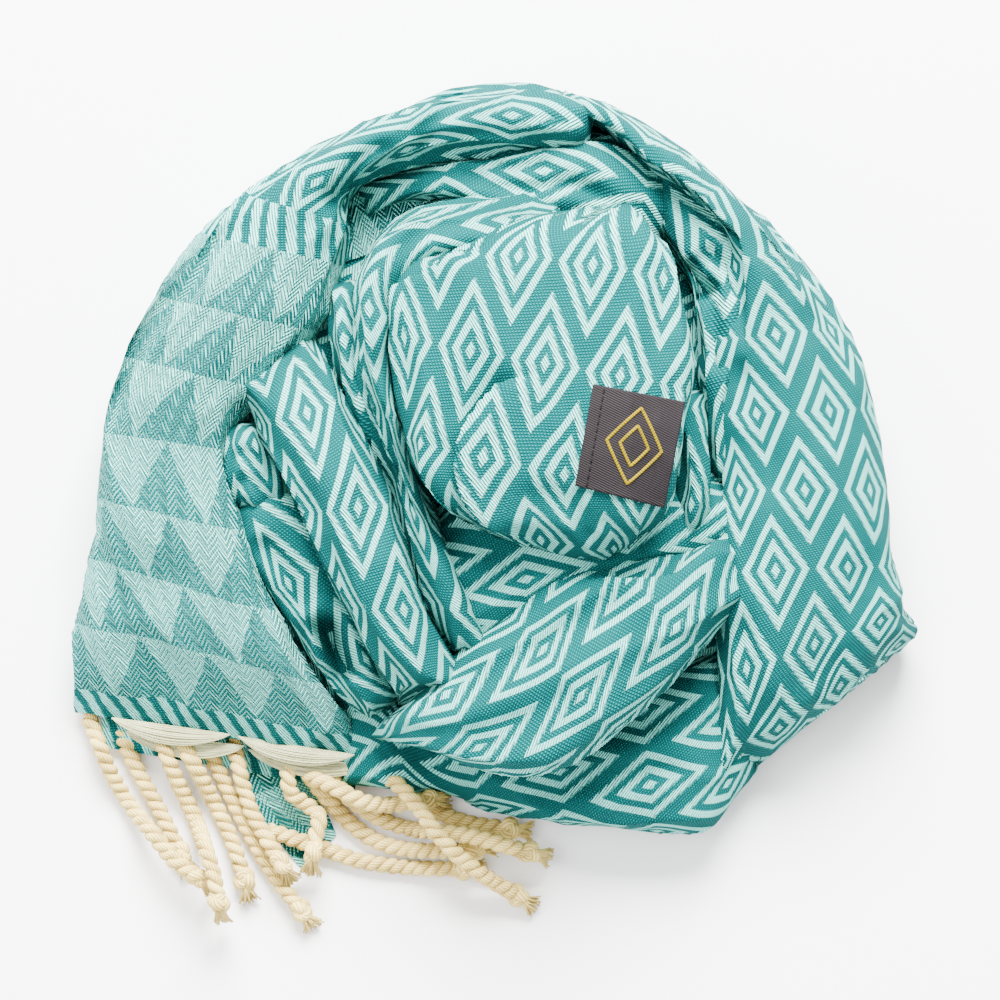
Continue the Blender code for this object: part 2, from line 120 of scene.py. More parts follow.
class Builder:
    """Collects grids of points, with two texture coordinates each, into one mesh object."""

    def __init__(self):
        self.points, self.faces, self.coordinates, self.count = [], [], [], 0

    def add_grid(self, points, coordinates, closed=False):
        """points is rows x columns x 3 and coordinates rows x columns x 2."""
        rows, columns = points.shape[:2]
        self.faces.append(grid_faces(rows, columns, closed, self.count))
        self.points.append(points.reshape(-1, 3))
        self.coordinates.append(coordinates.reshape(-1, 2))
        self.count += rows * columns

    def add_cap(self, ring):
        """Close a tube's end with one face over the ring, whose points are already in the mesh."""
        self.faces.append(np.array([ring]))

    def make(self, name, material):
        points = np.vstack(self.points)
        faces = [face for group in self.faces for face in group.tolist()]
        data = bpy.data.meshes.new(name)
        data.from_pydata(points.tolist(), [], faces)
        layer = data.uv_layers.new(name="cloth_metres")
        corner_points = np.empty(len(data.loops), int)
        data.loops.foreach_get("vertex_index", corner_points)
        coordinates = np.vstack(self.coordinates)[corner_points]
        layer.data.foreach_set("uv", coordinates.astype(np.float32).ravel())
        data.shade_smooth()
        data.materials.append(material)
        made = bpy.data.objects.new(name, data)
        bpy.context.scene.collection.objects.link(made)
        return made


def declare(piece, node):
    """Hang a piece on the root body and hide the node of the frame that it replaces."""
    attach(piece, "root")
    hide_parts(node)


def cross_axes(line, closed=False):
    """The unit vectors to the side of a line and up from it, at each of its points."""
    tangents = np.gradient(line, axis=0)
    if closed:
        tangents = np.roll(line, -1, axis=0) - np.roll(line, 1, axis=0)
    tangents /= np.linalg.norm(tangents, axis=1)[:, None]
    side = np.cross(tangents, (0, 0, 1))
    upright = np.linalg.norm(side, axis=1) < NEAR_UPRIGHT
    side[upright] = np.cross(tangents[upright], (1, 0, 0))
    side /= np.linalg.norm(side, axis=1)[:, None]
    return side, np.cross(side, tangents)


def add_tube(builder, line, radii, sides, closed=False, flatten=1.0):
    """Sweep a round section along a line of points, with filled ends."""
    side, up = cross_axes(line, closed)
    angles = np.linspace(0, 2 * math.pi, sides, endpoint=False)
    radii = np.broadcast_to(radii, len(line))[:, None, None]
    cosines, sines = np.cos(angles)[:, None], np.sin(angles)[:, None]
    ring = side[:, None] * cosines + up[:, None] * sines * flatten
    points = line[:, None] + ring * radii
    around = np.broadcast_to(angles / (2 * math.pi), points.shape[:2])
    along = np.broadcast_to(run_length(line)[:, None], points.shape[:2])
    first = builder.count
    if closed:
        points = np.concatenate([points, points[:1]])
        around = np.concatenate([around, around[:1]])
        along = np.concatenate([along, along[:1] + run_length(line)[-1]])
    builder.add_grid(points, np.stack([around, along], axis=-1), closed=True)
    if not closed:
        builder.add_cap(np.arange(first, first + sides)[::-1])
        builder.add_cap(np.arange(builder.count - sides, builder.count))


# ---- tassels

TASSEL_RADIUS = 3.1 * MM
TASSEL_DROP = 26 * MM
HUMP_REACH = 17 * MM
HUMP_CREST = 0.2
LAY_STEP = 1.5 * MM
LAY_CLEARANCE = 0.8 * MM
KNOT_LENGTH = 12 * MM
KNOT_RADIUS = 5 * MM
KNOT_GAP = 0.6 * MM
TABLE_GAP = 0.3 * MM

# Height each tassel leaves the towel at and its run in plan, from the lowest on the table to the topmost
TASSELS = [
    (4.0, [(-76, -150), (-64, -154), (-52, -158), (-39, -160), (-27, -161), (-18, -161)]),
    (4.5, [(-141, -118), (-137, -126), (-132, -135), (-128, -143), (-125, -149)]),
    (4.5, [(-108, -121), (-103, -131), (-97, -143), (-90, -156), (-83, -167), (-79, -172)]),
    (4.5, [(-30, -133), (-21, -139), (-10, -143), (0, -144.5)]),
    (10.0, [(-154, -112), (-149, -124), (-142, -136), (-133, -147), (-125, -157), (-121, -160)]),
    (13.0, [(-128, -115), (-123, -127), (-117, -140), (-112, -153), (-109, -162), (-108, -167)]),
    (13.0, [(-119, -116), (-113, -127), (-107, -139), (-102, -150), (-99, -159)]),
    (10.0, [(-99, -122), (-97, -130), (-94, -139), (-89, -148), (-86, -153)]),
    (7.0, [(-72, -124), (-66, -132), (-57, -142), (-46, -150), (-34, -153.5), (-22, -154), (-14, -153.5)]),
    (7.0, [(-62, -127), (-54, -135), (-44, -141.5), (-32, -145.5), (-20, -146.5), (-8, -148), (8, -152.5)]),
    (12.0, [(-80, -125), (-79, -131), (-74, -135), (-68, -140), (-69, -148)]),
    (9.0, [(-62, -129), (-56, -132), (-49, -135), (-41, -136), (-32, -135)]),
    (16.0, [(-46, -122), (-38, -127), (-30, -135), (-23, -145), (-14, -155), (-4, -163), (4, -168)]),
]


def lay_tassel(start_height, route, laid):
    """Rest one tassel on the table and on those laid before it: its line, stations and length."""
    fine = smooth_curve(route, CURVE_STEPS) * MM
    last_step = fine[-1] - fine[-2]
    knot_end = fine[-1] + last_step / np.linalg.norm(last_step) * (KNOT_LENGTH + KNOT_GAP)
    fine = np.vstack([fine, knot_end])
    run = run_length(fine)
    length = run[-2]
    stations = np.arange(0, run[-1], LAY_STEP)
    plan = resample(fine, stations, run)
    radii = np.where(stations > length, KNOT_RADIUS, TASSEL_RADIUS)
    table = TASSEL_RADIUS + TABLE_GAP
    needed = radii + TABLE_GAP
    if len(laid):
        apart = np.linalg.norm(plan[:, None, :] - laid[None, :, :2], axis=2)
        clear = radii[:, None] + laid[None, :, 3] + LAY_CLEARANCE
        over = laid[None, :, 2] + np.sqrt(np.maximum(clear**2 - apart**2, 0))
        needed = np.maximum(needed, np.where(apart < clear, over, 0).max(axis=1))
    reach = np.abs(stations[:, None] - stations[None, :]) / HUMP_REACH
    slope = np.clip((reach - HUMP_CREST) / (1 - HUMP_CREST), 0, 1)
    hump = (1 + np.cos(math.pi * slope)) / 2
    heights = (table + (needed[None, :] - table) * hump).max(axis=1)
    come_down = np.clip(stations / TASSEL_DROP, 0, 1)
    start = max(start_height * MM - table, 0)
    heights = np.maximum(heights, table + start * (1 + np.cos(math.pi * come_down)) / 2)
    return np.column_stack([plan, heights, radii]), stations, length


ROOT_REACH = 12 * MM  # how far each rope starts behind the edge of the cloth
ROOT_DIVE = 6 * MM  # and how far below its height there
PLIES = 2
PLY_RADIUS = 1.78 * MM
PLY_ORBIT = 1.62 * MM
PLY_PITCH = 9.2 * MM
PLY_STEP = 0.7 * MM
PLY_SIDES = 10
PLY_SWELL = 0.05
PLY_SWELL_LENGTH = 13 * MM
TURN_BETWEEN_TASSELS = 1.1  # radians by which each tassel's twist is turned from the one before
ROPE_IN_KNOT = 0.7  # share of the knot's length that the rope reaches into
KNOT_TUBE = 2.35 * MM
KNOT_STEPS = 72
KNOT_SIDES = 12
KNOT_LOOP = (0.95, 0.85, 1.25)  # millimetres that the knot's curve is scaled to, along, across and up
KNOT_OFF_TABLE = 0.2 * MM
FRAY_STRANDS = 34
FRAY_LENGTH = 6.5 * MM
FRAY_START = 3.2 * MM  # from the middle of the knot
FRAY_POINTS = 7
FRAY_RADII = (0.55, 0.32)  # millimetres, at the knot and at the tip
FRAY_LOWEST = 0.7 * MM
FRAY_SAG = 0.7  # share of the way down to the table that a tip sags


def add_plies(builder, line, phase):
    """Twist two plies round a line."""
    run = run_length(line)
    places = np.arange(0, run[-1], PLY_STEP)
    line = resample(line, places, run)
    side, up = cross_axes(line)
    for ply in range(PLIES):
        turn = (places / PLY_PITCH + ply / PLIES) * 2 * math.pi + phase
        swell = 1 + PLY_SWELL * np.sin(places / PLY_SWELL_LENGTH + 2 * phase)
        orbit = (side * np.cos(turn)[:, None] + up * np.sin(turn)[:, None]) * PLY_ORBIT
        add_tube(builder, line + orbit, PLY_RADIUS * swell, PLY_SIDES)
    return line


def add_knot(builder, centre, heading, phase):
    """An overhand knot, lying along the heading."""
    turn = np.linspace(0, 2 * math.pi, KNOT_STEPS, endpoint=False)
    loop = np.column_stack([
        np.sin(turn) + 2 * np.sin(2 * turn),
        np.cos(turn) - 2 * np.cos(2 * turn),
        -np.sin(3 * turn),
    ]) * KNOT_LOOP * MM
    roll = Matrix.Rotation(phase, 3, "X")
    place = Matrix.Rotation(heading, 3, "Z") @ roll
    loop = loop @ np.array(place.transposed()) + centre
    loop[:, 2] = np.maximum(loop[:, 2], KNOT_TUBE + KNOT_OFF_TABLE)
    add_tube(builder, loop, KNOT_TUBE, KNOT_SIDES, closed=True)


def add_fray(builder, centre, heading, draws):
    """The loose threads past a knot, which spread out and sag onto the table."""
    forward = np.array((math.cos(heading), math.sin(heading), 0.0))
    sideways = np.array((-forward[1], forward[0], 0.0))
    upward = np.array((0, 0, 1.0))
    t = np.linspace(0, 1, FRAY_POINTS)[:, None]
    radii = np.linspace(*FRAY_RADII, FRAY_POINTS) * MM
    for _ in range(FRAY_STRANDS):
        spread, lift = draws.uniform(-1, 1), draws.uniform(-0.8, 0.8)
        reach = FRAY_LENGTH * draws.uniform(0.6, 1.0)
        bend = draws.uniform(-0.25, 0.25)
        across = (spread * (1.6 + 2.2 * t) + bend * 6 * t**2) * MM
        line = centre + forward * (FRAY_START + reach * t) + sideways * across
        line = line + upward * lift * (1.8 + 0.6 * t) * MM
        line[:, 2] -= (t[:, 0] ** 2) * (centre[2] - 2.2 * MM) * FRAY_SAG
        line[:, 2] = np.maximum(line[:, 2], FRAY_LOWEST)
        add_tube(builder, line, radii, 5)


def make_tassels(material):
    """Every tassel with its knot, each hung on the root body in place of its part of the frame."""
    laid = np.empty((0, 4))
    draws = np.random.default_rng(11)
    for number, (start_height, route) in enumerate(TASSELS):
        name = f"tassel_{number + 1:02d}"
        line, stations, length = lay_tassel(start_height, route, laid)
        laid = np.vstack([laid, line])
        phase = number * TURN_BETWEEN_TASSELS
        middle = length + KNOT_GAP + KNOT_LENGTH / 2
        rope_end = length + KNOT_GAP + KNOT_LENGTH * ROPE_IN_KNOT
        centreline = resample(line[:, :3], np.arange(0, rope_end, LAY_STEP), stations)
        backward = centreline[0] - centreline[2]
        backward[2] = 0
        root = centreline[0] + backward / np.linalg.norm(backward) * ROOT_REACH
        root[2] = max(root[2] - ROOT_DIVE, TASSEL_RADIUS + TABLE_GAP)
        centreline = np.vstack([root, centreline])
        rope = Builder()
        path = add_plies(rope, centreline, phase)
        rope = rope.make(name + "_rope", material)
        declare(rope, name)

        centre = np.array([np.interp(middle, stations, line[:, i]) for i in range(3)])
        heading = math.atan2(line[-1, 1] - line[-6, 1], line[-1, 0] - line[-6, 0])
        knot = Builder()
        add_knot(knot, centre, heading, phase)
        add_fray(knot, centre, heading, draws)
        knot = knot.make(name + "_tied_end", material)
        declare(knot, name + "_knot")


# ---- materials

TEAL = (0.0005, 0.062, 0.062, 1)
TEAL_DEEP = (0.0002, 0.040, 0.042, 1)
TEAL_SPECK = (0.008, 0.25, 0.23, 1)
WHITE = (0.27, 0.80, 0.70, 1)
WHITE_SHADE = (0.02, 0.17, 0.16, 1)
CORD_LIGHT = (0.82, 0.64, 0.215, 1)
CORD_DARK = (0.17, 0.09, 0.013, 1)
WARP_LIGHT = (0.72, 0.72, 0.42, 1)
WARP_DARK = (0.40, 0.41, 0.20, 1)
# the label's dark tape colour, and the painted highlight colour on its ribs
LABEL_DARK = (0.008, 0.0065, 0.0072, 1)
LABEL_RIB_HIGHLIGHT = (0.030, 0.026, 0.028, 1)
GOLD = (0.20, 0.15, 0.0005, 1)
GOLD_DARK = (0.10, 0.065, 0.0002, 1)
FLOOR_WHITE = (0.95, 0.95, 0.95, 1)

# The woven pattern, in metres of cloth
LOZENGE_PITCH_ACROSS = 29 * MM
LOZENGE_PITCH_ALONG = 41 * MM
LOZENGE_HALF_WIDTH = 13.4 * MM
LOZENGE_HALF_LENGTH = 29 * MM
LOZENGE_BANDS = [(0.13, 0), (0.33, 1), (0.555, 0), (0.775, 1), (0.99, 0)]
LOZENGE_SOFTNESS = 0.012
LOZENGE_REACH = 1.2  # how far out from a lozenge's middle its colour ramp is read
STRIPE_BAND_END = 13 * MM
SECOND_BAND = 18 * MM
TRIANGLE_ROW = 28.8 * MM
TRIANGLE_ROWS = 7
TRIANGLE_WIDTH = 28 * MM
TRIANGLES_END = STRIPE_BAND_END + TRIANGLE_ROW * TRIANGLE_ROWS
STRIPE_PITCH = 7.8 * MM
STRIPE_SLANT = 0.5
THREAD_PITCH = 1.3 * MM
HERRINGBONE_PITCH = 2.5 * MM
HERRINGBONE_COLUMN = 3.5 * MM
HERRINGBONE_SLOPE = 1.5
WHITE_SHARES = (0.36, 0.74)  # of the herringbone's threads, between the hanging triangles and in them
RAGGED_BY_THREAD = 1.1 * MM  # how far the pattern's edges step with the threads
RAGGED_BY_FUZZ = 1 * MM
COTTON_FIBRE_PITCH = 1.1 * MM
COTTON_FIBRE_TWIST = 9 * MM  # run of a fibre in one turn round its ply


class Nodes:
    """Short spellings for building one material's node tree."""

    def __init__(self, name, roughness):
        self.material = bpy.data.materials.new(name)
        self.material.use_nodes = True
        self.tree = self.material.node_tree
        self.shader = self.tree.nodes["Principled BSDF"]
        self.shader.inputs["Roughness"].default_value = roughness
        self.shader.inputs["Specular IOR Level"].default_value = 0.06

    def put(self, socket, value):
        if isinstance(value, bpy.types.NodeSocket):
            self.tree.links.new(value, socket)
        elif value is not None:
            socket.default_value = value

    def math(self, operation, *values, clamp=False):
        node = self.tree.nodes.new("ShaderNodeMath")
        node.operation = operation
        node.use_clamp = clamp
        for socket, value in zip(node.inputs, values):
            self.put(socket, value)
        return node.outputs[0]

    def scale(self, value, factor, start):
        """value x factor + start."""
        return self.math("MULTIPLY_ADD", value, factor, start)

    def mix(self, factor, first, second):
        node = self.tree.nodes.new("ShaderNodeMix")
        node.data_type = "RGBA"
        self.put(node.inputs[0], factor)
        self.put(node.inputs[6], first)
        self.put(node.inputs[7], second)
        return node.outputs[2]

    def choose(self, factor, first, second):
        """first where factor is 0 and second where it is 1, for plain numbers."""
        node = self.tree.nodes.new("ShaderNodeMix")
        self.put(node.inputs[0], factor)
        self.put(node.inputs[2], first)
        self.put(node.inputs[3], second)
        return node.outputs[0]

    def coordinates(self):
        """The across and along coordinates, in metres of cloth, and both as one vector."""
        source = self.tree.nodes.new("ShaderNodeUVMap")
        source.uv_map = "cloth_metres"
        split = self.tree.nodes.new("ShaderNodeSeparateXYZ")
        self.put(split.inputs[0], source.outputs[0])
        return split.outputs[0], split.outputs[1], source.outputs[0]

    def noise(self, vector, scale, detail):
        node = self.tree.nodes.new("ShaderNodeTexNoise")
        node.inputs["Scale"].default_value = scale
        node.inputs["Detail"].default_value = detail
        self.put(node.inputs["Vector"], vector)
        return node.outputs["Fac"]

    def object_place(self):
        return self.tree.nodes.new("ShaderNodeTexCoord").outputs["Object"]

    def ramp(self, value, stops):
        """The value's level on straight lines between stops of place and level."""
        node = self.tree.nodes.new("ShaderNodeValToRGB")
        elements = node.color_ramp.elements
        elements[0].position, elements[1].position = stops[0][0], stops[-1][0]
        for place, _ in stops[1:-1]:
            elements.new(place)
        for element, (_, level) in zip(elements, stops):
            element.color = (level, level, level, 1)
        self.put(node.inputs[0], value)
        return node.outputs[0]

    def wave(self, value, pitch):
        """A sine of this pitch, from 0 to 1."""
        turns = self.math("MULTIPLY", value, 2 * math.pi / pitch)
        return self.scale(self.math("SINE", turns), 0.5, 0.5)

    def bump(self, height, distance, strength):
        node = self.tree.nodes.new("ShaderNodeBump")
        node.inputs["Distance"].default_value = distance
        node.inputs["Strength"].default_value = strength
        self.put(node.inputs["Height"], height)
        return node.outputs[0]

    def finish(self, colour, normal):
        self.put(self.shader.inputs["Base Color"], colour)
        self.put(self.shader.inputs["Normal"], normal)
        return self.material


def lozenge_mask(n, across, along):
    """1 on the white bands of the nested lozenges and 0 on the ground between them."""
    from_column = n.math("PINGPONG", across, LOZENGE_PITCH_ACROSS / 2)
    from_row = n.math("PINGPONG", along, LOZENGE_PITCH_ALONG)
    to_next_column = n.math("SUBTRACT", LOZENGE_PITCH_ACROSS / 2, from_column)
    to_next_row = n.math("SUBTRACT", LOZENGE_PITCH_ALONG, from_row)
    distances = []
    for column, row in ((from_column, from_row), (to_next_column, to_next_row)):
        scaled = n.math("DIVIDE", column, LOZENGE_HALF_WIDTH)
        distances.append(n.math("ADD", scaled, n.math("DIVIDE", row, LOZENGE_HALF_LENGTH)))
    nearest = n.math("MINIMUM", *distances)
    stops = []
    level = 1
    for place, following in LOZENGE_BANDS:
        edge = place / LOZENGE_REACH
        stops += [(edge - LOZENGE_SOFTNESS, level), (edge + LOZENGE_SOFTNESS, following)]
        level = following
    return n.ramp(n.math("DIVIDE", nearest, LOZENGE_REACH), stops)


def stripe_mask(n, across, along):
    """1 on the white slanted bars of the border bands."""
    place = n.scale(along, STRIPE_SLANT, across)
    share = n.math("FRACT", n.math("DIVIDE", place, STRIPE_PITCH))
    return n.ramp(share, [(0.0, 0), (0.40, 0), (0.46, 1), (0.94, 1), (1.0, 0)])


def triangle_mask(n, across, along):
    """1 on the white threads of the triangle zone, whose herringbone is whiter in the hanging triangles.

    The second value is the place across each thread, from 0 to 1.
    """
    rise = n.math("FRACT", n.math("DIVIDE", n.math("SUBTRACT", along, STRIPE_BAND_END), TRIANGLE_ROW))
    side = n.math("DIVIDE", n.math("PINGPONG", across, TRIANGLE_WIDTH / 2), TRIANGLE_WIDTH / 2)
    hanging = n.math("GREATER_THAN", side, n.math("SUBTRACT", 1.0, rise))
    column = n.math("FRACT", n.math("DIVIDE", across, 2 * HERRINGBONE_COLUMN))
    leaning = n.scale(n.math("GREATER_THAN", column, 0.5), 2.0, -1.0)
    lean = n.math("MULTIPLY", n.math("MULTIPLY", across, HERRINGBONE_SLOPE), leaning)
    offset = n.math("MULTIPLY", leaning, HERRINGBONE_PITCH / 4)
    place = n.math("ADD", n.math("ADD", along, lean), offset)
    thread = n.math("FRACT", n.math("DIVIDE", place, HERRINGBONE_PITCH))
    white_share = n.choose(hanging, *WHITE_SHARES)
    return n.math("LESS_THAN", thread, white_share), thread


def cloth_material():
    """Two-colour flat weave: nested lozenges, and border bands and triangles near the fringed end."""
    n = Nodes("cloth_weave", 0.92)
    across, along, vector = n.coordinates()
    fuzz = n.noise(vector, 1100.0, 2.0)
    tone = n.noise(vector, 45.0, 3.0)
    float_thread = n.wave(n.scale(along, 0.75, across), THREAD_PITCH)
    ragged = n.scale(float_thread, RAGGED_BY_THREAD, -RAGGED_BY_THREAD / 2)
    ragged = n.math("ADD", ragged, n.scale(fuzz, RAGGED_BY_FUZZ, -RAGGED_BY_FUZZ / 2))
    along_ragged = n.math("ADD", along, ragged)
    lozenges = lozenge_mask(n, n.scale(ragged, 0.5, across), along_ragged)
    stripes = stripe_mask(n, across, along_ragged)
    triangles, thread = triangle_mask(n, across, along)
    in_triangles = n.math("LESS_THAN", along, TRIANGLES_END)
    in_first_band = n.math("LESS_THAN", along, STRIPE_BAND_END)
    in_border = n.math("LESS_THAN", along, TRIANGLES_END + SECOND_BAND)
    border = n.choose(in_first_band, n.choose(in_triangles, stripes, triangles), stripes)
    white = n.choose(in_border, lozenges, border)
    only_triangles = n.math("SUBTRACT", in_triangles, in_first_band)

    grain_across = n.wave(n.scale(along, 0.5, across), THREAD_PITCH)
    grain_along = n.wave(n.scale(across, -0.25, along), THREAD_PITCH * 0.9)
    specks = n.math("MULTIPLY", grain_across, grain_along)
    speck_strength = n.scale(fuzz, 1.5, 0.1)
    speck_amount = n.math("MULTIPLY", n.ramp(specks, [(0.15, 0), (0.8, 0.75)]), speck_strength)
    ground = n.mix(tone, TEAL_DEEP, TEAL)
    ground = n.mix(speck_amount, ground, TEAL_SPECK)
    hatch_strength = n.scale(fuzz, 2.6, -0.3)
    hatch_amount = n.math("MULTIPLY", n.ramp(float_thread, [(0.1, 1), (0.75, 0)]), hatch_strength)
    floats = n.mix(hatch_amount, WHITE, WHITE_SHADE)
    colour = n.mix(white, ground, floats)

    weave = n.choose(white, specks, n.math("ADD", float_thread, 0.6))
    thread_round = n.math("PINGPONG", thread, 0.5)
    weave = n.choose(only_triangles, weave, n.math("MULTIPLY", thread_round, 3.0))
    weave = n.scale(fuzz, 0.6, weave)
    normal = n.bump(weave, 0.6 * MM, 1.0)
    return n.finish(colour, normal)


def cotton_material(name, light, dark):
    """Twisted unbleached cotton."""
    n = Nodes(name, 0.9)
    around, along = n.coordinates()[:2]
    place = n.object_place()
    slanted = n.scale(around, COTTON_FIBRE_TWIST, along)
    fibres = n.wave(slanted, COTTON_FIBRE_PITCH)
    tone = n.noise(place, 140.0, 3.0)
    fuzz = n.noise(place, 2600.0, 3.0)
    shade = n.scale(fibres, -0.45, tone)
    colour = n.mix(n.math("MULTIPLY", shade, 1.2, clamp=True), light, dark)
    normal = n.bump(n.scale(fuzz, 0.7, fibres), 0.25 * MM, 0.7)
    return n.finish(colour, normal)


def label_material():
    """Dark ribbed tape, with a painted highlight on its ribs."""
    n = Nodes("label_twill", 0.8)
    across, along, vector = n.coordinates()
    rib = n.wave(n.scale(across, 0.5, along), 0.95 * MM)
    fuzz = n.noise(vector, 2200.0, 2.0)
    # painted highlight: the ribs are coloured lighter where light would catch their tops
    amount = n.math("MULTIPLY", rib, n.scale(fuzz, 0.9, 0.15))
    colour = n.mix(amount, LABEL_DARK, LABEL_RIB_HIGHLIGHT)
    return n.finish(colour, n.bump(n.scale(fuzz, 0.4, rib), 0.25 * MM, 0.8))


def thread_material():
    """Lustrous gold-coloured thread."""
    n = Nodes("gold_thread", 0.45)
    around, along = n.coordinates()[:2]
    ply = n.wave(n.scale(around, 1.1 * MM, along), 1.1 * MM)
    colour = n.mix(ply, GOLD_DARK, GOLD)
    return n.finish(colour, n.bump(ply, 0.15 * MM, 0.8))


# ---- cloth

SECTION_POWER = 2.7
SECTION_MIDDLE = 0.42
CELL = 2.4 * MM
OUTER_SIDES = 116
INNER_SIDES = 44
INNER_SCALES = (0.84, 0.70, 0.57)  # the turns of cloth rolled up inside each fold
INNER_MARGIN = 8 * MM  # how much wider a crease is on the turns inside
TUCK = 0.08  # share of a turn over which the roll steps inwards
OVERHANG_SPREAD = 2.2  # how far the cloth behind a crease is drawn over it, in overhangs
THINNEST = 2 * MM
TABLE_CLEARANCE = 0.6 * MM
PATTERN_HOME = 20 * 2 * LOZENGE_PITCH_ALONG  # keeps a fold's pattern clear of the border bands

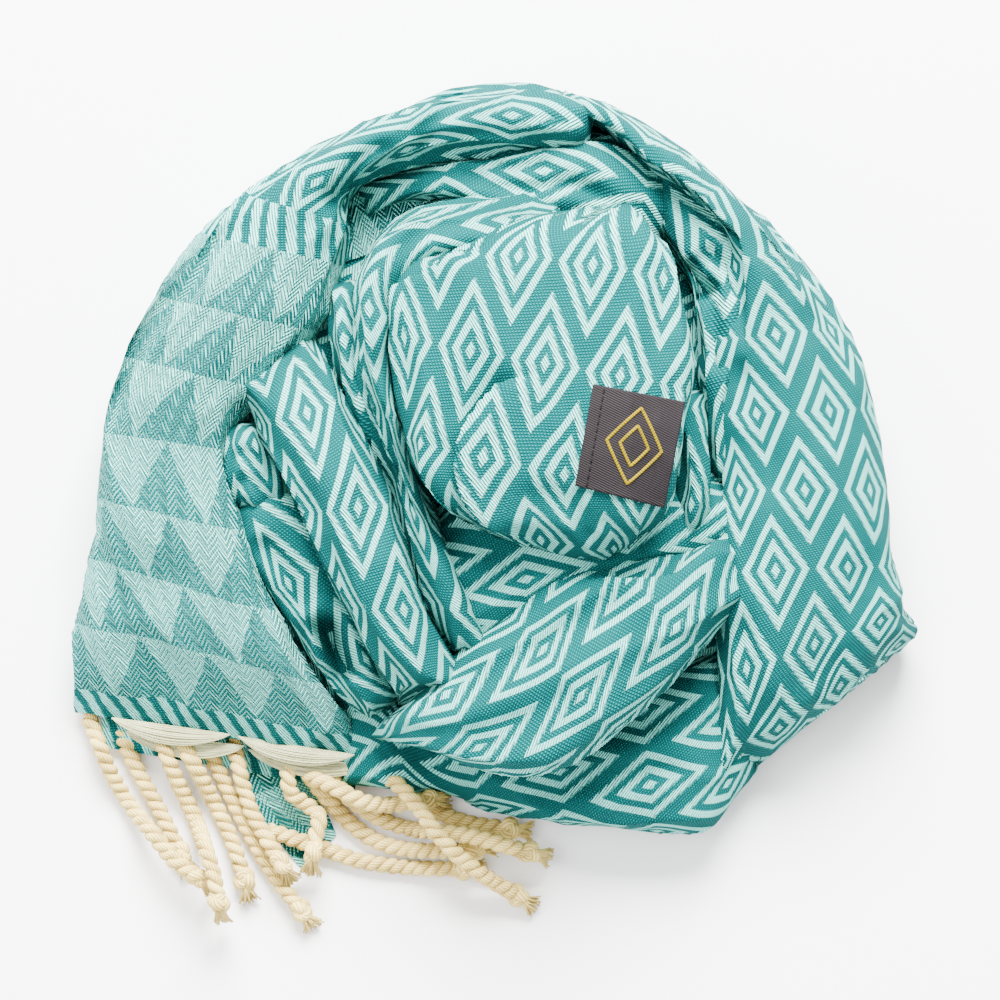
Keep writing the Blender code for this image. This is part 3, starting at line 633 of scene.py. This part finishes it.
# Each fold, in millimetres. rows has left x, left y, right x, right y and highest z, along its run. low is
# the lowest z in each row of a fold that lies on others. nose is the length over which each end closes.
# anchor is the plan place of a lozenge's middle, turn is the angle in degrees from the fold's run to the
# lozenges' long axis, and gathered is the length of cloth taken up in each metre of that run.
PLAIN_NOSE = (6, 6)
FOLDS = {
    "end_panel_and_arch": dict(nose=(0, 8), rows=[
        (-163, -100, -47, -118, 15), (-162, -88, -50, -108, 26), (-160.5, -72, -58, -95, 37),
        (-159, -55, -72, -80, 44), (-155, -27, -92, -46, 50), (-152, 0, -102, -8, 53),
        (-148, 22, -98, 14, 55), (-141, 44, -84, 29, 57), (-131, 63, -66, 48, 60),
        (-118, 81, -58, 68, 62), (-101, 98, -56, 86, 64), (-82, 111, -58, 98, 66),
        (-60, 124, -51, 106, 69), (-40, 134, -38, 111, 71), (-20, 142.5, -19, 117, 72),
        (2, 145, 1, 119, 71), (22, 143, 21, 120, 67), (40, 137, 38, 118, 60),
    ]),
    "right_band": dict(nose=(10, 8), anchor=(101.7, 16.7), gathered=1.33, rows=[
        (26, 141.5, 28, 130, 52), (43, 137, 43, 124, 65), (60, 129, 54, 114, 70),
        (80, 115.5, 66, 102, 73), (101, 97, 82, 88, 74), (118, 80, 88, 70, 74),
        (131, 62, 84, 54, 73), (142, 42, 81, 37, 72), (149, 20, 83, 17, 71),
        (154, -5, 86, -6, 69), (157.5, -30, 88, -30, 67), (161, -52, 89, -60, 64),
        (163, -63, 87, -95, 56), (163.5, -68, 83, -124, 42), (161, -73, 80, -141, 20),
    ]),
    "inner_right_ridge": dict(anchor=(84, 82), rows=[
        (66, 118, 55, 112, 48), (82, 104, 58, 97, 56), (94, 89, 66, 84, 60),
        (99, 70, 76, 66, 62), (97, 50, 79, 48, 63), (95, 30, 80, 28, 62),
        (95, 8, 83, 6, 58), (95, -12, 87, -12, 52),
    ]),
    "inner_arch": dict(nose=(5, 6), anchor=(20, 111), rows=[
        (-54, 106, -50, 90, 30), (-36, 112, -32, 98, 42), (-20, 117, -20, 100, 50),
        (-6, 121, -6, 98, 57), (20, 124, 18, 94, 61), (44, 127, 38, 91, 61),
        (61, 119, 54, 86, 58), (76, 108, 66, 80, 52),
    ]),
    "ridge_round_pad": dict(anchor=(-48, 57), rows=[
        (32, 102, 30, 86, 66), (10, 102, 9, 82, 74), (-13, 101, -10, 76, 80),
        (-33, 96, -24, 74, 84), (-47, 85, -33, 68, 86), (-54, 69, -38, 58, 87),
        (-54, 50, -37, 42, 88), (-53, 30, -34, 22, 88), (-48, 9, -30, 3, 86),
        (-42, -10, -25, -16, 82), (-37, -28, -18, -34, 76), (-31, -45, -11, -51, 70),
        (-24, -61, -4, -67, 63), (-17, -77, 2, -80, 55),
    ]),
    "left_strap": dict(nose=(8, 6), anchor=(-72.3, 17.9), turn=-16, rows=[
        (-106, 27, -75, 53, 42), (-97, 17, -66, 41, 62), (-90, 5, -57, 27, 72),
        (-81, -9, -50, 11, 78), (-75, -22, -43, -6, 80), (-69, -37, -37, -24, 80),
        (-62, -53, -31, -43, 77), (-54, -69, -24, -60, 72), (-45, -85, -14, -76, 66),
        (-37, -97, -5, -90, 58),
    ]),
    "narrow_left_ridge": dict(anchor=(-57, 45), rows=[
        (-63, 68, -55, 70, 44), (-63, 50, -53, 52, 58), (-60, 34, -51, 35, 62),
        (-54, 18, -47, 18, 60), (-47, 2, -42, 2, 52),
    ]),
    "upper_crumple": dict(nose=(5, 5), anchor=(-92, 5), rows=[
        (-101, 16, -90, 14, 44), (-104, 5, -84, 4, 52), (-102, -9, -78, -10, 52),
        (-97, -20, -74, -24, 42),
    ]),
    "lower_crumple": dict(anchor=(-80, -48), rows=[
        (-101, -18, -84, -14, 40), (-98, -34, -68, -24, 48), (-88, -55, -60, -42, 50),
        (-75, -75, -54, -62, 48), (-61, -91, -44, -80, 46), (-48, -104, -34, -93, 40),
    ]),
    "base_layer": dict(anchor=(62, -127), turn=8, gathered=1.2, rows=[
        (-66, -88, -60, -128, 12), (-46, -82, -42, -131, 24), (-24, -110, -19, -131, 20),
        (-8, -98, -5, -138, 29), (15, -92, 15, -140.5, 33), (38, -86, 38, -142.5, 35),
        (62, -78, 62, -144.5, 36), (88, -72, 84, -144, 34), (112, -68, 104, -122, 24),
    ]),
    "inner_floor": dict(anchor=(12, -47), rows=[
        (-32, -28, -22, -72, 54), (-12, -12, -4, -78, 61), (10, -10, 14, -70, 64),
        (34, -10, 36, -60, 64), (58, -8, 58, -52, 62), (80, -6, 82, -42, 58),
        (96, -8, 98, -34, 48),
    ]),
    "bottom_strap": dict(anchor=(20, -75), turn=26, low=(16, 20, 24, 26, 27, 27, 26, 25, 24, 22), rows=[
        (-43, -103, -48, -110, 36), (-33, -94, -38, -114, 56), (-18, -82, -18, -120, 68),
        (-2, -70, 2, -124, 74), (13, -58, 22, -123, 77), (28, -47, 42, -113, 78),
        (45, -42, 60, -98, 77), (65, -38, 76, -80, 74), (82, -30, 89, -65, 67),
        (98, -25, 104, -54, 52),
    ]),
    "curl_beside_pad": dict(anchor=(77, -18), low=(20, 20, 20, 20, 20), rows=[
        (73, 26, 82, 26, 56), (70, 6, 84, 7, 66), (69, -11, 87, -10, 69),
        (70, -24, 85, -26, 64), (75, -33, 81, -34, 48),
    ]),
    "pad": dict(nose=(14, 12), anchor=(39, 75), turn=-11,
                low=(60, 64, 66, 67, 68, 68, 68, 68, 66, 64, 62, 60), rows=[
        (6, 92, 46, 98, 76), (-24, 81, 58, 93, 89), (-37, 72, 68, 79, 96),
        (-41, 60, 75, 62, 99), (-40, 42, 77.5, 44, 101), (-37, 22, 77, 25, 102),
        (-34, 6, 74, 4, 102), (-28, -8, 70, -14, 100), (-15, -20, 65, -26, 96),
        (2, -30, 58, -33, 90), (16, -36, 51, -37.5, 82), (32, -39, 44, -40, 72),
    ]),
    "core": dict(anchor=(0, 0), rows=[
        (-112, -70, -60, -98, 20), (-118, -20, -20, -88, 26), (-118, 40, 60, -88, 30),
        (-84, 92, 108, -60, 30), (-30, 112, 116, 0, 28), (30, 116, 104, 60, 22),
    ]),
}

# Wrinkle sizes across and along the run and heights, in millimetres, and whether they are sharp ridges
WRINKLES = [
    (58, 66, 4.5, False),
    (24, 75, 3.2, False),
    (16, 48, 3.0, True),
    (9, 13, 0.8, False),
]
RIDGE_LEVEL = 0.4
RIDGE_STEEPNESS = 1.3
RIDGE_ROUNDING = 0.01
SMOOTH_UNDERSIDE = 0.12  # share of a turn, each way from the underside, over which wrinkles fade
FULL_WRINKLE_THICKNESS = 24 * MM  # thinner sections get smaller wrinkles
CREASE_TAPER = 0.15  # share of a crease's run over which each end fades
SLIDE_REACH = 2.2 * CELL  # how far from a drop's line the cloth may be to be slid onto it
SLIDE_UPRIGHT = 0.4  # and how much it has to face upwards
SLIDE_MOST = 1.6  # cells that it may slide

# For each fold: the line in plan, its width and depth in millimetres, and for cloth that drops on one side
# of the line, that side (1 is left of the line, -1 right) and how far the other side hangs over it
CREASES = {
    "pad": [
        ([(14, 31), (8, 27), (3.5, 22.6), (-4, 14), (-8.8, 3.5), (-9, -5), (-7, -14), (0, -23),
          (8.6, -31.6)], 10, 15, -1, 6),
        ([(-42, 60), (-30, 65), (-19, 71), (-10, 80)], 9, 7, 1, 5),
        ([(10, -12), (22, -16), (34, -24), (42, -34)], 6, 3.0),
        ([(58, 78), (66, 62), (70, 46)], 5, 2.5),
    ],
    "end_panel_and_arch": [
        ([(-150, 10), (-147, 22), (-140, 42), (-133, 52), (-124, 63), (-117, 72), (-104, 86),
          (-96, 94)], 4.5, 9),
        ([(-66, 95), (-56, 105), (-51, 114), (-45, 119), (-38, 122)], 4.5, 6),
        ([(-30, 118), (-27, 122), (-22, 130), (-16, 137), (-9, 143)], 4.5, 6),
        ([(-74, -50), (-88, -30), (-96, 0), (-92, 20)], 6, 3),
        ([(-125, -60), (-128, -20), (-122, 20)], 14, 3),
    ],
    "right_band": [
        ([(55, 118), (75, 108), (90, 93), (97, 85), (100, 60), (98, 40)], 14, 6, -1, 2),
        ([(104, 92), (112, 72), (110, 52), (104, 36)], 5, 4),
        ([(96, 40), (105, 15), (108, -20)], 9, 4.5),
        ([(118, 62), (128, 35), (132, 0)], 10, 3.5),
        ([(92, -60), (100, -85), (96, -120)], 8, 4),
        ([(150, -35), (130, -75), (105, -110)], 8, 3.5),
    ],
    "inner_right_ridge": [
        ([(80, 80), (93, 72), (96, 62)], 4, 6),
        ([(84, 70), (86, 50), (88, 32)], 4, 6),
        ([(72, 74), (80, 66), (84, 60)], 6, 14),
    ],
    "inner_arch": [
        ([(-16, 112), (10, 104), (30, 106), (50, 98)], 4, 6),
        ([(-10, 120), (6, 112), (26, 114)], 4, 5),
    ],
    "ridge_round_pad": [
        ([(20, 92), (-4, 92), (-24, 88), (-40, 74)], 5, 4),
        ([(-44, 44), (-44, 20), (-38, 0), (-30, -20)], 5, 5),
    ],
    "left_strap": [
        ([(-78, 40), (-62, 16), (-50, -12), (-42, -40)], 6, 5),
        ([(-92, 18), (-76, -6), (-66, -30)], 6, 4),
    ],
    "upper_crumple": [
        ([(-101, 2), (-92, -2), (-84, -10)], 4, 6),
        ([(-100, -8), (-92, -10), (-84, -18)], 4, 6),
    ],
    "lower_crumple": [
        ([(-66, -60), (-61, -76), (-55, -88)], 5, 26),
        ([(-92, -30), (-80, -46), (-74, -62)], 5, 7),
    ],
    "bottom_strap": [
        ([(35, -48), (60, -49), (75, -45), (92, -29)], 10, 7, 1, 2.5),
        ([(-30, -90), (0, -84), (30, -66), (60, -56)], 9, 5),
        ([(-14, -112), (12, -104), (36, -92)], 9, 3.5),
    ],
    "base_layer": [
        ([(-8, -118), (24, -108), (60, -104), (90, -96)], 5, 6),
        ([(10, -132), (44, -126), (80, -120)], 5, 4),
    ],
}

# Single layers that show between the folds: a turned corner beside the arch, the towel's lower end under the
# fringe, and the corner of it that hangs out. Their edges are rows of x, y and z in millimetres.
LAYER_CELLS = (39, 29)
LAYER_WAVE_SIZE = (11 * MM, 14 * MM)
LAYER_WAVE_HEIGHT = 0.8 * MM
LAYER_LOWEST = 0.4 * MM
LOOSE_LAYERS = [
    dict(
        left_edge=[(-70, 104, 24), (-64, 90, 26), (-58, 76, 28)],
        right_edge=[(-20, 120, 26), (-18, 106, 28), (-16, 90, 30)],
        along_start=60, seed=3,
    ),
    dict(
        left_edge=[(-155, -113, 5), (-153, -104, 7), (-151, -94, 8)],
        right_edge=[(-54, -130.5, 3), (-51, -120, 5), (-48, -110, 6)],
        along_start=0, seed=1,
    ),
    dict(
        left_edge=[(-74, -162, 0.8), (-84, -150, 1.2), (-93, -134, 2.0), (-100, -114, 3)],
        right_edge=[(-61, -148, 0.8), (-64, -141, 1.2), (-70, -130, 2.0), (-77, -112, 3)],
        along_start=6, seed=2,
    ),
]


def roll_profile():
    """How the cloth runs round a fold: each column's angle, in turns from the underside, and its scale."""
    turns = [np.linspace(0, 1, OUTER_SIDES, endpoint=False)]
    for number in range(len(INNER_SCALES)):
        turns.append(np.linspace(number + 1, number + 2, INNER_SIDES, endpoint=False))
    turns = np.concatenate(turns)
    scales = np.ones(len(turns))
    outside = 1.0
    for number, inside in enumerate(INNER_SCALES):
        step = np.clip((turns - (number + 1 - TUCK)) / TUCK, 0, 1)
        scales += (inside - outside) * step * step * (3 - 2 * step)
        outside = inside
    return turns, scales


def fold_points(rows, nose, low):
    """The grid of a fold's points, one row for each section."""
    dense = smooth_curve(np.insert(np.array(rows, float), 4, low, axis=1), CURVE_STEPS) * MM
    dense[:, 4] = np.maximum(dense[:, 4], TABLE_CLEARANCE)
    run = run_length((dense[:, :2] + dense[:, 2:4]) / 2)
    count = max(4, round(run[-1] / CELL))
    sections = resample(dense, np.linspace(0, run[-1], count + 1), run)
    place = np.linspace(0, run[-1], count + 1)
    closing = np.ones(count + 1)
    for length, from_end in ((nose[0] * MM, place), (nose[1] * MM, run[-1] - place)):
        if length:
            share = np.clip(from_end / length, 0, 1)
            closing *= np.sqrt(np.maximum(1 - (1 - share) ** 2, 0))
    low, top = sections[:, 4], sections[:, 5]
    middle = low + (top - low) * SECTION_MIDDLE
    above = np.maximum((top - middle) * closing, THINNEST / 2)
    below = np.maximum((middle - low) * closing, THINNEST / 2)

    turns, scales = roll_profile()
    angle = 2 * math.pi * turns
    power = 2 / SECTION_POWER
    across = -np.copysign(np.abs(np.sin(angle)) ** power, np.sin(angle)) * scales
    up = -np.copysign(np.abs(np.cos(angle)) ** power, np.cos(angle)) * scales
    centre = (sections[:, :2] + sections[:, 2:4]) / 2
    half = (sections[:, 2:4] - sections[:, :2]) / 2
    plan = centre[:, None, :] + half[:, None, :] * across[None, :, None]
    height = middle[:, None] + np.where(up > 0, above[:, None] * up, below[:, None] * up)
    return np.concatenate([plan, height[:, :, None]], axis=-1)


def cloth_coordinates(points):
    """Across and along coordinates of a fold's grid, in metres of cloth, measured from its top line."""
    crown = OUTER_SIDES // 2
    steps = np.linalg.norm(np.diff(points, axis=1), axis=2)
    across = np.concatenate([np.zeros((len(points), 1)), np.cumsum(steps, axis=1)], axis=1)
    across -= across[:, crown:crown + 1]
    along = run_length(points[:, crown])
    return np.stack([across, np.broadcast_to(along[:, None], across.shape)], axis=-1)


def place_pattern(points, coordinates, anchor, turn, gathered):
    """Shift and turn a fold's pattern so that a lozenge's middle lies at the anchor."""
    outer_top = slice(OUTER_SIDES // 4, 3 * OUTER_SIDES // 4)
    apart = np.linalg.norm(points[:, outer_top, :2] - np.array(anchor) * MM, axis=-1)
    row, column = np.unravel_index(apart.argmin(), apart.shape)
    shifted = coordinates - coordinates[row, column + OUTER_SIDES // 4]
    cosine, sine = math.cos(math.radians(turn)), math.sin(math.radians(turn))
    across, along = shifted[..., 0], shifted[..., 1] * gathered
    turned_along = along * cosine - across * sine + PATTERN_HOME
    return np.stack([across * cosine + along * sine, turned_along], axis=-1)


def outward_normals(points):
    """The unit normal at each point of a fold's grid."""
    normals = np.cross(np.gradient(points, axis=1), np.gradient(points, axis=0))
    return normals / np.maximum(np.linalg.norm(normals, axis=2, keepdims=True), 1e-12)


def noise_field(across, along, seed):
    """Smooth noise from -1 to 1 over two coordinates."""
    flat = np.stack([across.ravel(), along.ravel(), np.full(across.size, float(seed))], axis=-1)
    return np.array([noise.noise(place) for place in flat.tolist()]).reshape(across.shape)


def wrinkle(points, coordinates, seed):
    """Push a fold's surface in and out along its normals, in soft waves, ridges and small puckers."""
    across, along = coordinates[:, :OUTER_SIDES, 0], coordinates[:, :OUTER_SIDES, 1]
    moved = np.zeros(across.shape)
    for number, (size_across, size_along, height, ridged) in enumerate(WRINKLES):
        field = noise_field(across / (size_across * MM), along / (size_along * MM), seed * 7.3 + number)
        if ridged:
            field = RIDGE_LEVEL - np.sqrt(np.abs(field) + RIDGE_ROUNDING) * RIDGE_STEEPNESS
        moved += field * height * MM
    around = np.arange(OUTER_SIDES) / OUTER_SIDES
    moved *= np.clip(np.minimum(around, 1 - around) / SMOOTH_UNDERSIDE, 0, 1)
    thickness = points[..., 2].max(axis=1) - points[..., 2].min(axis=1)
    moved *= np.clip(thickness / FULL_WRINKLE_THICKNESS, 0, 1)[:, None]
    turns = roll_profile()[0] % 1
    nearest_column = np.minimum(np.round(turns * OUTER_SIDES).astype(int), OUTER_SIDES - 1)
    points += outward_normals(points) * moved[:, nearest_column, None]


def nearest_on_line(plan, line):
    """Each plan point's distance from a line, direction away from it, side of it and place along it."""
    distance = np.full(len(plan), np.inf)
    direction = np.zeros(plan.shape)
    side, share = np.zeros(len(plan)), np.zeros(len(plan))
    run = run_length(line)
    for start, end, done in zip(line[:-1], line[1:], run):
        step = end - start
        length = np.linalg.norm(step)
        t = np.clip((plan - start) @ step / length**2, 0, 1)
        away = plan - start - t[:, None] * step
        apart = np.linalg.norm(away, axis=1)
        closer = apart < distance
        distance[closer] = apart[closer]
        direction[closer] = away[closer] / np.maximum(apart[closer], 1e-9)[:, None]
        side[closer] = np.sign(step[0] * away[:, 1] - step[1] * away[:, 0])[closer]
        share[closer] = ((done + t * length) / run[-1])[closer]
    return distance, direction, side, share


def slide_onto_line(points, coordinates, distance, direction, drops):
    """Slide the points beside a drop along the cloth onto its line, so that the edge follows the line."""
    padded = np.pad(drops, 1)
    rows, columns = drops.shape
    beside = np.zeros(drops.shape, bool)
    for i in range(3):
        for j in range(3):
            beside |= padded[i:i + rows, j:j + columns]
    beside &= ~drops & (distance < SLIDE_REACH) & (outward_normals(points)[..., 2] > SLIDE_UPRIGHT)
    beside[:, OUTER_SIDES:] = False
    move = -direction * (distance * beside)[..., None]
    by_column, by_row = np.gradient(points, axis=1), np.gradient(points, axis=0)
    turned = by_column[..., 0] * by_row[..., 1] - by_column[..., 1] * by_row[..., 0]
    turned = np.where(np.abs(turned) < 1e-9, np.inf, turned)
    columns_over = (move[..., 0] * by_row[..., 1] - move[..., 1] * by_row[..., 0]) / turned
    rows_over = (by_column[..., 0] * move[..., 1] - by_column[..., 1] * move[..., 0]) / turned
    columns_over = np.clip(columns_over, -SLIDE_MOST, SLIDE_MOST)[..., None]
    rows_over = np.clip(rows_over, -SLIDE_MOST, SLIDE_MOST)[..., None]
    column_step, row_step = np.gradient(coordinates, axis=1), np.gradient(coordinates, axis=0)
    points += by_column * columns_over + by_row * rows_over
    coordinates += column_step * columns_over + row_step * rows_over


def crease(points, coordinates, line, width, depth, drop_side=0, overhang=0):
    """Press a valley into the top of a fold, or drop the cloth on one side of the line.

    With an overhang, the cloth on the other side reaches that far over the side that drops.
    """
    facing_up = np.clip(outward_normals(points)[..., 2].ravel() * 3, 0, 1)
    line = smooth_curve(line, 12) * MM
    shape = points.shape[:2]
    distance, direction, side, share = nearest_on_line(points[..., :2].reshape(-1, 2), line)
    taper = np.clip(np.minimum(share, 1 - share) / CREASE_TAPER, 0, 1) * facing_up
    inner = np.broadcast_to(np.arange(shape[1]) >= OUTER_SIDES, shape).ravel()
    distance = np.where(inner, np.maximum(distance - INNER_MARGIN, 0), distance)
    if drop_side:
        drops = (side == drop_side) | inner
        drop = np.where(drops, np.exp(-distance / (width * MM)), 0)
        slide_onto_line(
            points, coordinates, distance.reshape(shape), direction.reshape(*shape, 2), drops.reshape(shape),
        )
        fade = np.exp(-distance / (OVERHANG_SPREAD * overhang * MM))
        reach = np.where(drops, 0, fade) * taper * overhang * MM
        points[..., :2] -= (direction * reach[:, None]).reshape(*shape, 2)
    else:
        drop = np.exp(-((distance / (width * MM)) ** 2))
    points[..., 2] -= (drop * taper * depth * MM).reshape(shape)


def add_layer(builder, left_edge, right_edge, along_start, seed):
    """A loose layer of cloth between two edges, in gentle waves."""
    edges = []
    for edge in (left_edge, right_edge):
        line = smooth_curve(edge, 8) * MM
        edges.append(resample(line, np.linspace(0, run_length(line)[-1], LAYER_CELLS[0] + 1)))
    share = np.linspace(0, 1, LAYER_CELLS[1] + 1)[None, :, None]
    points = edges[0][:, None] * (1 - share) + edges[1][:, None] * share
    wave_places = points[..., :2] / LAYER_WAVE_SIZE
    points[..., 2] += noise_field(wave_places[..., 0], wave_places[..., 1], seed) * LAYER_WAVE_HEIGHT
    points[..., 2] = np.maximum(points[..., 2], LAYER_LOWEST)
    across = np.broadcast_to(run_length(points[0])[None, :], points.shape[:2])
    along = np.broadcast_to(run_length(points[:, 0])[:, None], points.shape[:2])
    builder.add_grid(points, np.stack([across, along + along_start * MM], axis=-1))


def make_cloth(material):
    """The towel's cloth, one sheet rolled and folded into the bundle."""
    builder = Builder()
    for number, (name, fold) in enumerate(FOLDS.items()):
        points = fold_points(fold["rows"], fold.get("nose", PLAIN_NOSE), fold.get("low", 0))
        faces_look_inwards = outward_normals(points)[:, OUTER_SIDES // 2, 2].mean() < 0
        if faces_look_inwards:
            points = points[::-1].copy()
        coordinates = cloth_coordinates(points)
        wrinkle(points, coordinates, number)
        for line, *sizes in CREASES.get(name, []):
            crease(points, coordinates, line, *sizes)
        points[..., 2] = np.maximum(points[..., 2], TABLE_CLEARANCE)
        if "anchor" in fold:
            turn, gathered = fold.get("turn", 0), fold.get("gathered", 1)
            coordinates = place_pattern(points, coordinates, fold["anchor"], turn, gathered)
        builder.add_grid(points, coordinates)
    for layer in LOOSE_LAYERS:
        add_layer(builder, **layer)
    return builder.make("towel_weave", material)


# ---- loose warp and label

BUNCH_LENGTH = 45 * MM
BUNCH_WIDTH = 7.4 * MM
BUNCH_STRANDS = 32
STRAND_RADIUS = 0.26 * MM
STRAND_POINTS = 25
STRAND_SIDES = 6
STRAND_RISE = 1.6 * MM  # of the threads in the middle of a bunch, before each one's own share
# Name, centre x, y and z in millimetres, and turn in degrees
BUNCHES = [
    ("warp_bunch_upper_left", -126.0, -108.0, 17.0, -8),
    ("warp_bunch_upper_right", -77.0, -115.6, 17.0, -9),
    ("warp_bunch_lower_left", -120.5, -113.0, 12.0, -7),
    ("warp_bunch_lower_right", -72.5, -120.5, 12.0, -8),
]


def make_bunches(material):
    """Unwoven warp threads along the towel's end, gathered into flat bows."""
    draws = np.random.default_rng(5)
    made = []
    t = np.linspace(-1, 1, STRAND_POINTS)
    swell = (1 - t**2) ** 0.8
    for name, x, y, z, turn in BUNCHES:
        builder = Builder()
        turn_matrix = np.array(Matrix.Rotation(math.radians(turn), 3, "Z").transposed())
        for strand in range(BUNCH_STRANDS):
            place = (strand + 0.5) / BUNCH_STRANDS
            reach = draws.uniform(0.93, 1.04)
            line = np.column_stack([
                t * BUNCH_LENGTH / 2 * reach,
                BUNCH_WIDTH * (0.4 - swell * place) + draws.uniform(-0.25, 0.25) * swell * MM,
                swell * math.sin(math.pi * place) * STRAND_RISE * draws.uniform(0.2, 1.2),
            ])
            line = line @ turn_matrix + np.array((x, y, z)) * MM
            add_tube(builder, line, STRAND_RADIUS, STRAND_SIDES)
        bunch = builder.make(name + "_threads", material)
        declare(bunch, name)
        made.append(bunch)
    return made


LABEL_CORNERS = np.array([(38.9, 27.9), (74.5, 21.2), (66.5, -19.9), (31.9, -11.2)]) * MM
LABEL_CELLS = (36, 42)
LABEL_THICKNESS = 0.7 * MM
LABEL_LIFT = 1 * MM
LABEL_SMOOTHINGS = 14
LABEL_WAVE_SIZE = (12 * MM, 9 * MM)
LABEL_WAVE_HEIGHT = 0.35 * MM
STITCH_LENGTH = 2.1 * MM
STITCH_GAP = 0.9 * MM
STITCH_RADIUS = 0.35 * MM
STITCH_LIFT = 0.05 * MM
STITCH_DIP = 0.3 * MM  # of each stitch's two ends, into the label
MOTIF_THREAD = 0.62 * MM
MOTIF_LIFT = 0.15 * MM
MOTIF_POWER = 1.9  # 2 would give the lozenges quite straight sides
# Shares of the label's width and height
SEAM_INSET = 0.125
MOTIF_CENTRE = (0.55, 0.5)
MOTIF_HALVES = {"label_motif_outer": (0.30, 0.36), "label_motif_inner": (0.155, 0.19)}


def surface_tree(piece):
    """A search tree over a piece's faces."""
    places = [vertex.co for vertex in piece.data.vertices]
    return BVHTree.FromPolygons(places, [face.vertices for face in piece.data.polygons])


def height_over(tree, plan):
    """Height of the topmost surface at each plan point."""
    heights = []
    for x, y in plan:
        hit = tree.ray_cast(Vector((x, y, 1.0)), Vector((0, 0, -1)))[0]
        heights.append(hit.z if hit else 0.0)
    return np.array(heights)


def label_plan(across, down):
    """Plan point at these shares of the label's width and height."""
    top = LABEL_CORNERS[0] * (1 - across) + LABEL_CORNERS[1] * across
    bottom = LABEL_CORNERS[3] * (1 - across) + LABEL_CORNERS[2] * across
    return top * (1 - down) + bottom * down


def make_label(material, cloth_tree):
    """The sewn tape, lying on the cloth and bending with it."""
    columns, rows = LABEL_CELLS
    plan = np.array([
        [label_plan(i / columns, j / rows) for i in range(columns + 1)]
        for j in range(rows + 1)
    ])
    cloth_height = height_over(cloth_tree, plan.reshape(-1, 2)).reshape(rows + 1, columns + 1)
    height = cloth_height.copy()
    for _ in range(LABEL_SMOOTHINGS):
        padded = np.pad(height, 1, mode="edge")
        around = (padded[:-2, 1:-1] + padded[2:, 1:-1] + padded[1:-1, :-2] + padded[1:-1, 2:]) / 4
        height = np.maximum(around, cloth_height)
    wave_places = plan / LABEL_WAVE_SIZE
    height += LABEL_LIFT + noise_field(wave_places[..., 0], wave_places[..., 1], 3) * LABEL_WAVE_HEIGHT
    builder = Builder()
    builder.add_grid(np.concatenate([plan, height[..., None]], axis=-1), plan)
    label = builder.make("sewn_label", material)
    thickness = label.modifiers.new("thickness", "SOLIDIFY")
    thickness.thickness = LABEL_THICKNESS
    thickness.offset = 1
    declare(label, "label")
    return label


def on_label(label_tree, shares, lift):
    """Points a little above the label at these shares of its width and height."""
    plan = np.array([label_plan(across, down) for across, down in shares])
    return np.column_stack([plan, height_over(label_tree, plan) + lift])


def make_label_threads(gold, dark, label):
    """The motif's two lozenges and the row of stitches at the label's sewn side."""
    tree = surface_tree(label)
    turn = np.linspace(0, 2 * math.pi, 96, endpoint=False)
    made = []
    for name, (half_width, half_height) in MOTIF_HALVES.items():
        across = MOTIF_CENTRE[0] + half_width * np.sign(np.cos(turn)) * np.abs(np.cos(turn)) ** MOTIF_POWER
        down = MOTIF_CENTRE[1] + half_height * np.sign(np.sin(turn)) * np.abs(np.sin(turn)) ** MOTIF_POWER
        line = on_label(tree, np.column_stack([across, down]), MOTIF_LIFT)
        builder = Builder()
        add_tube(builder, line, MOTIF_THREAD, 8, closed=True, flatten=0.5)
        lozenge = builder.make(name + "_thread", gold)
        declare(lozenge, name)
        made.append(lozenge)
    builder = Builder()
    height = np.linalg.norm(LABEL_CORNERS[3] - LABEL_CORNERS[0])
    start = STITCH_GAP
    while start + STITCH_LENGTH < height:
        shares = [(SEAM_INSET, (start + STITCH_LENGTH * t) / height) for t in np.linspace(0, 1, 5)]
        line = on_label(tree, shares, STITCH_LIFT)
        line[[0, -1], 2] -= STITCH_DIP
        add_tube(builder, line, STITCH_RADIUS, 6)
        start += STITCH_LENGTH + STITCH_GAP
    seam = builder.make("label_stitches", dark)
    declare(seam, "label_seam")
    return [*made, seam]


# ---- stage

FLOOR_HALF_SIZE = 4.0
WORLD_STRENGTH = 1.7


def make_stage():
    floor_data = bpy.data.meshes.new("floor")
    mesh = bmesh.new()
    bmesh.ops.create_grid(mesh, x_segments=1, y_segments=1, size=FLOOR_HALF_SIZE)
    mesh.to_mesh(floor_data)
    mesh.free()
    floor = bpy.data.objects.new("floor", floor_data)
    bpy.context.scene.collection.objects.link(floor)
    n = Nodes("floor_white", 0.9)
    floor_data.materials.append(n.finish(FLOOR_WHITE, None))


def add_light(name, place, size, energy):
    data = bpy.data.lights.new(name, "AREA")
    data.shape = "SQUARE"
    data.size = size
    data.energy = energy
    light = bpy.data.objects.new(name, data)
    light.location = place
    light.rotation_euler = (-Vector(place)).to_track_quat("-Z", "Y").to_euler()
    bpy.context.scene.collection.objects.link(light)


def make_lights():
    add_light("key", place=(0.1, 1.8, 1.7), size=1.4, energy=690.0)
    add_light("fill", place=(-1.4, -0.2, 2.0), size=1.8, energy=70.0)
    world = bpy.data.worlds.new("studio")
    world.use_nodes = True
    background = world.node_tree.nodes["Background"]
    background.inputs["Color"].default_value = (1, 1, 1, 1)
    background.inputs["Strength"].default_value = WORLD_STRENGTH
    bpy.context.scene.world = world


# ---- assembly

make_tassels(cotton_material("tassel_cotton", CORD_LIGHT, CORD_DARK))
cloth = make_cloth(cloth_material())
declare(cloth, "towel_cloth")
bunches = make_bunches(cotton_material("loose_warp", WARP_LIGHT, WARP_DARK))
label_weave = label_material()
label = make_label(label_weave, surface_tree(cloth))
label_threads = make_label_threads(thread_material(), label_weave, label)
make_stage()
make_lights()
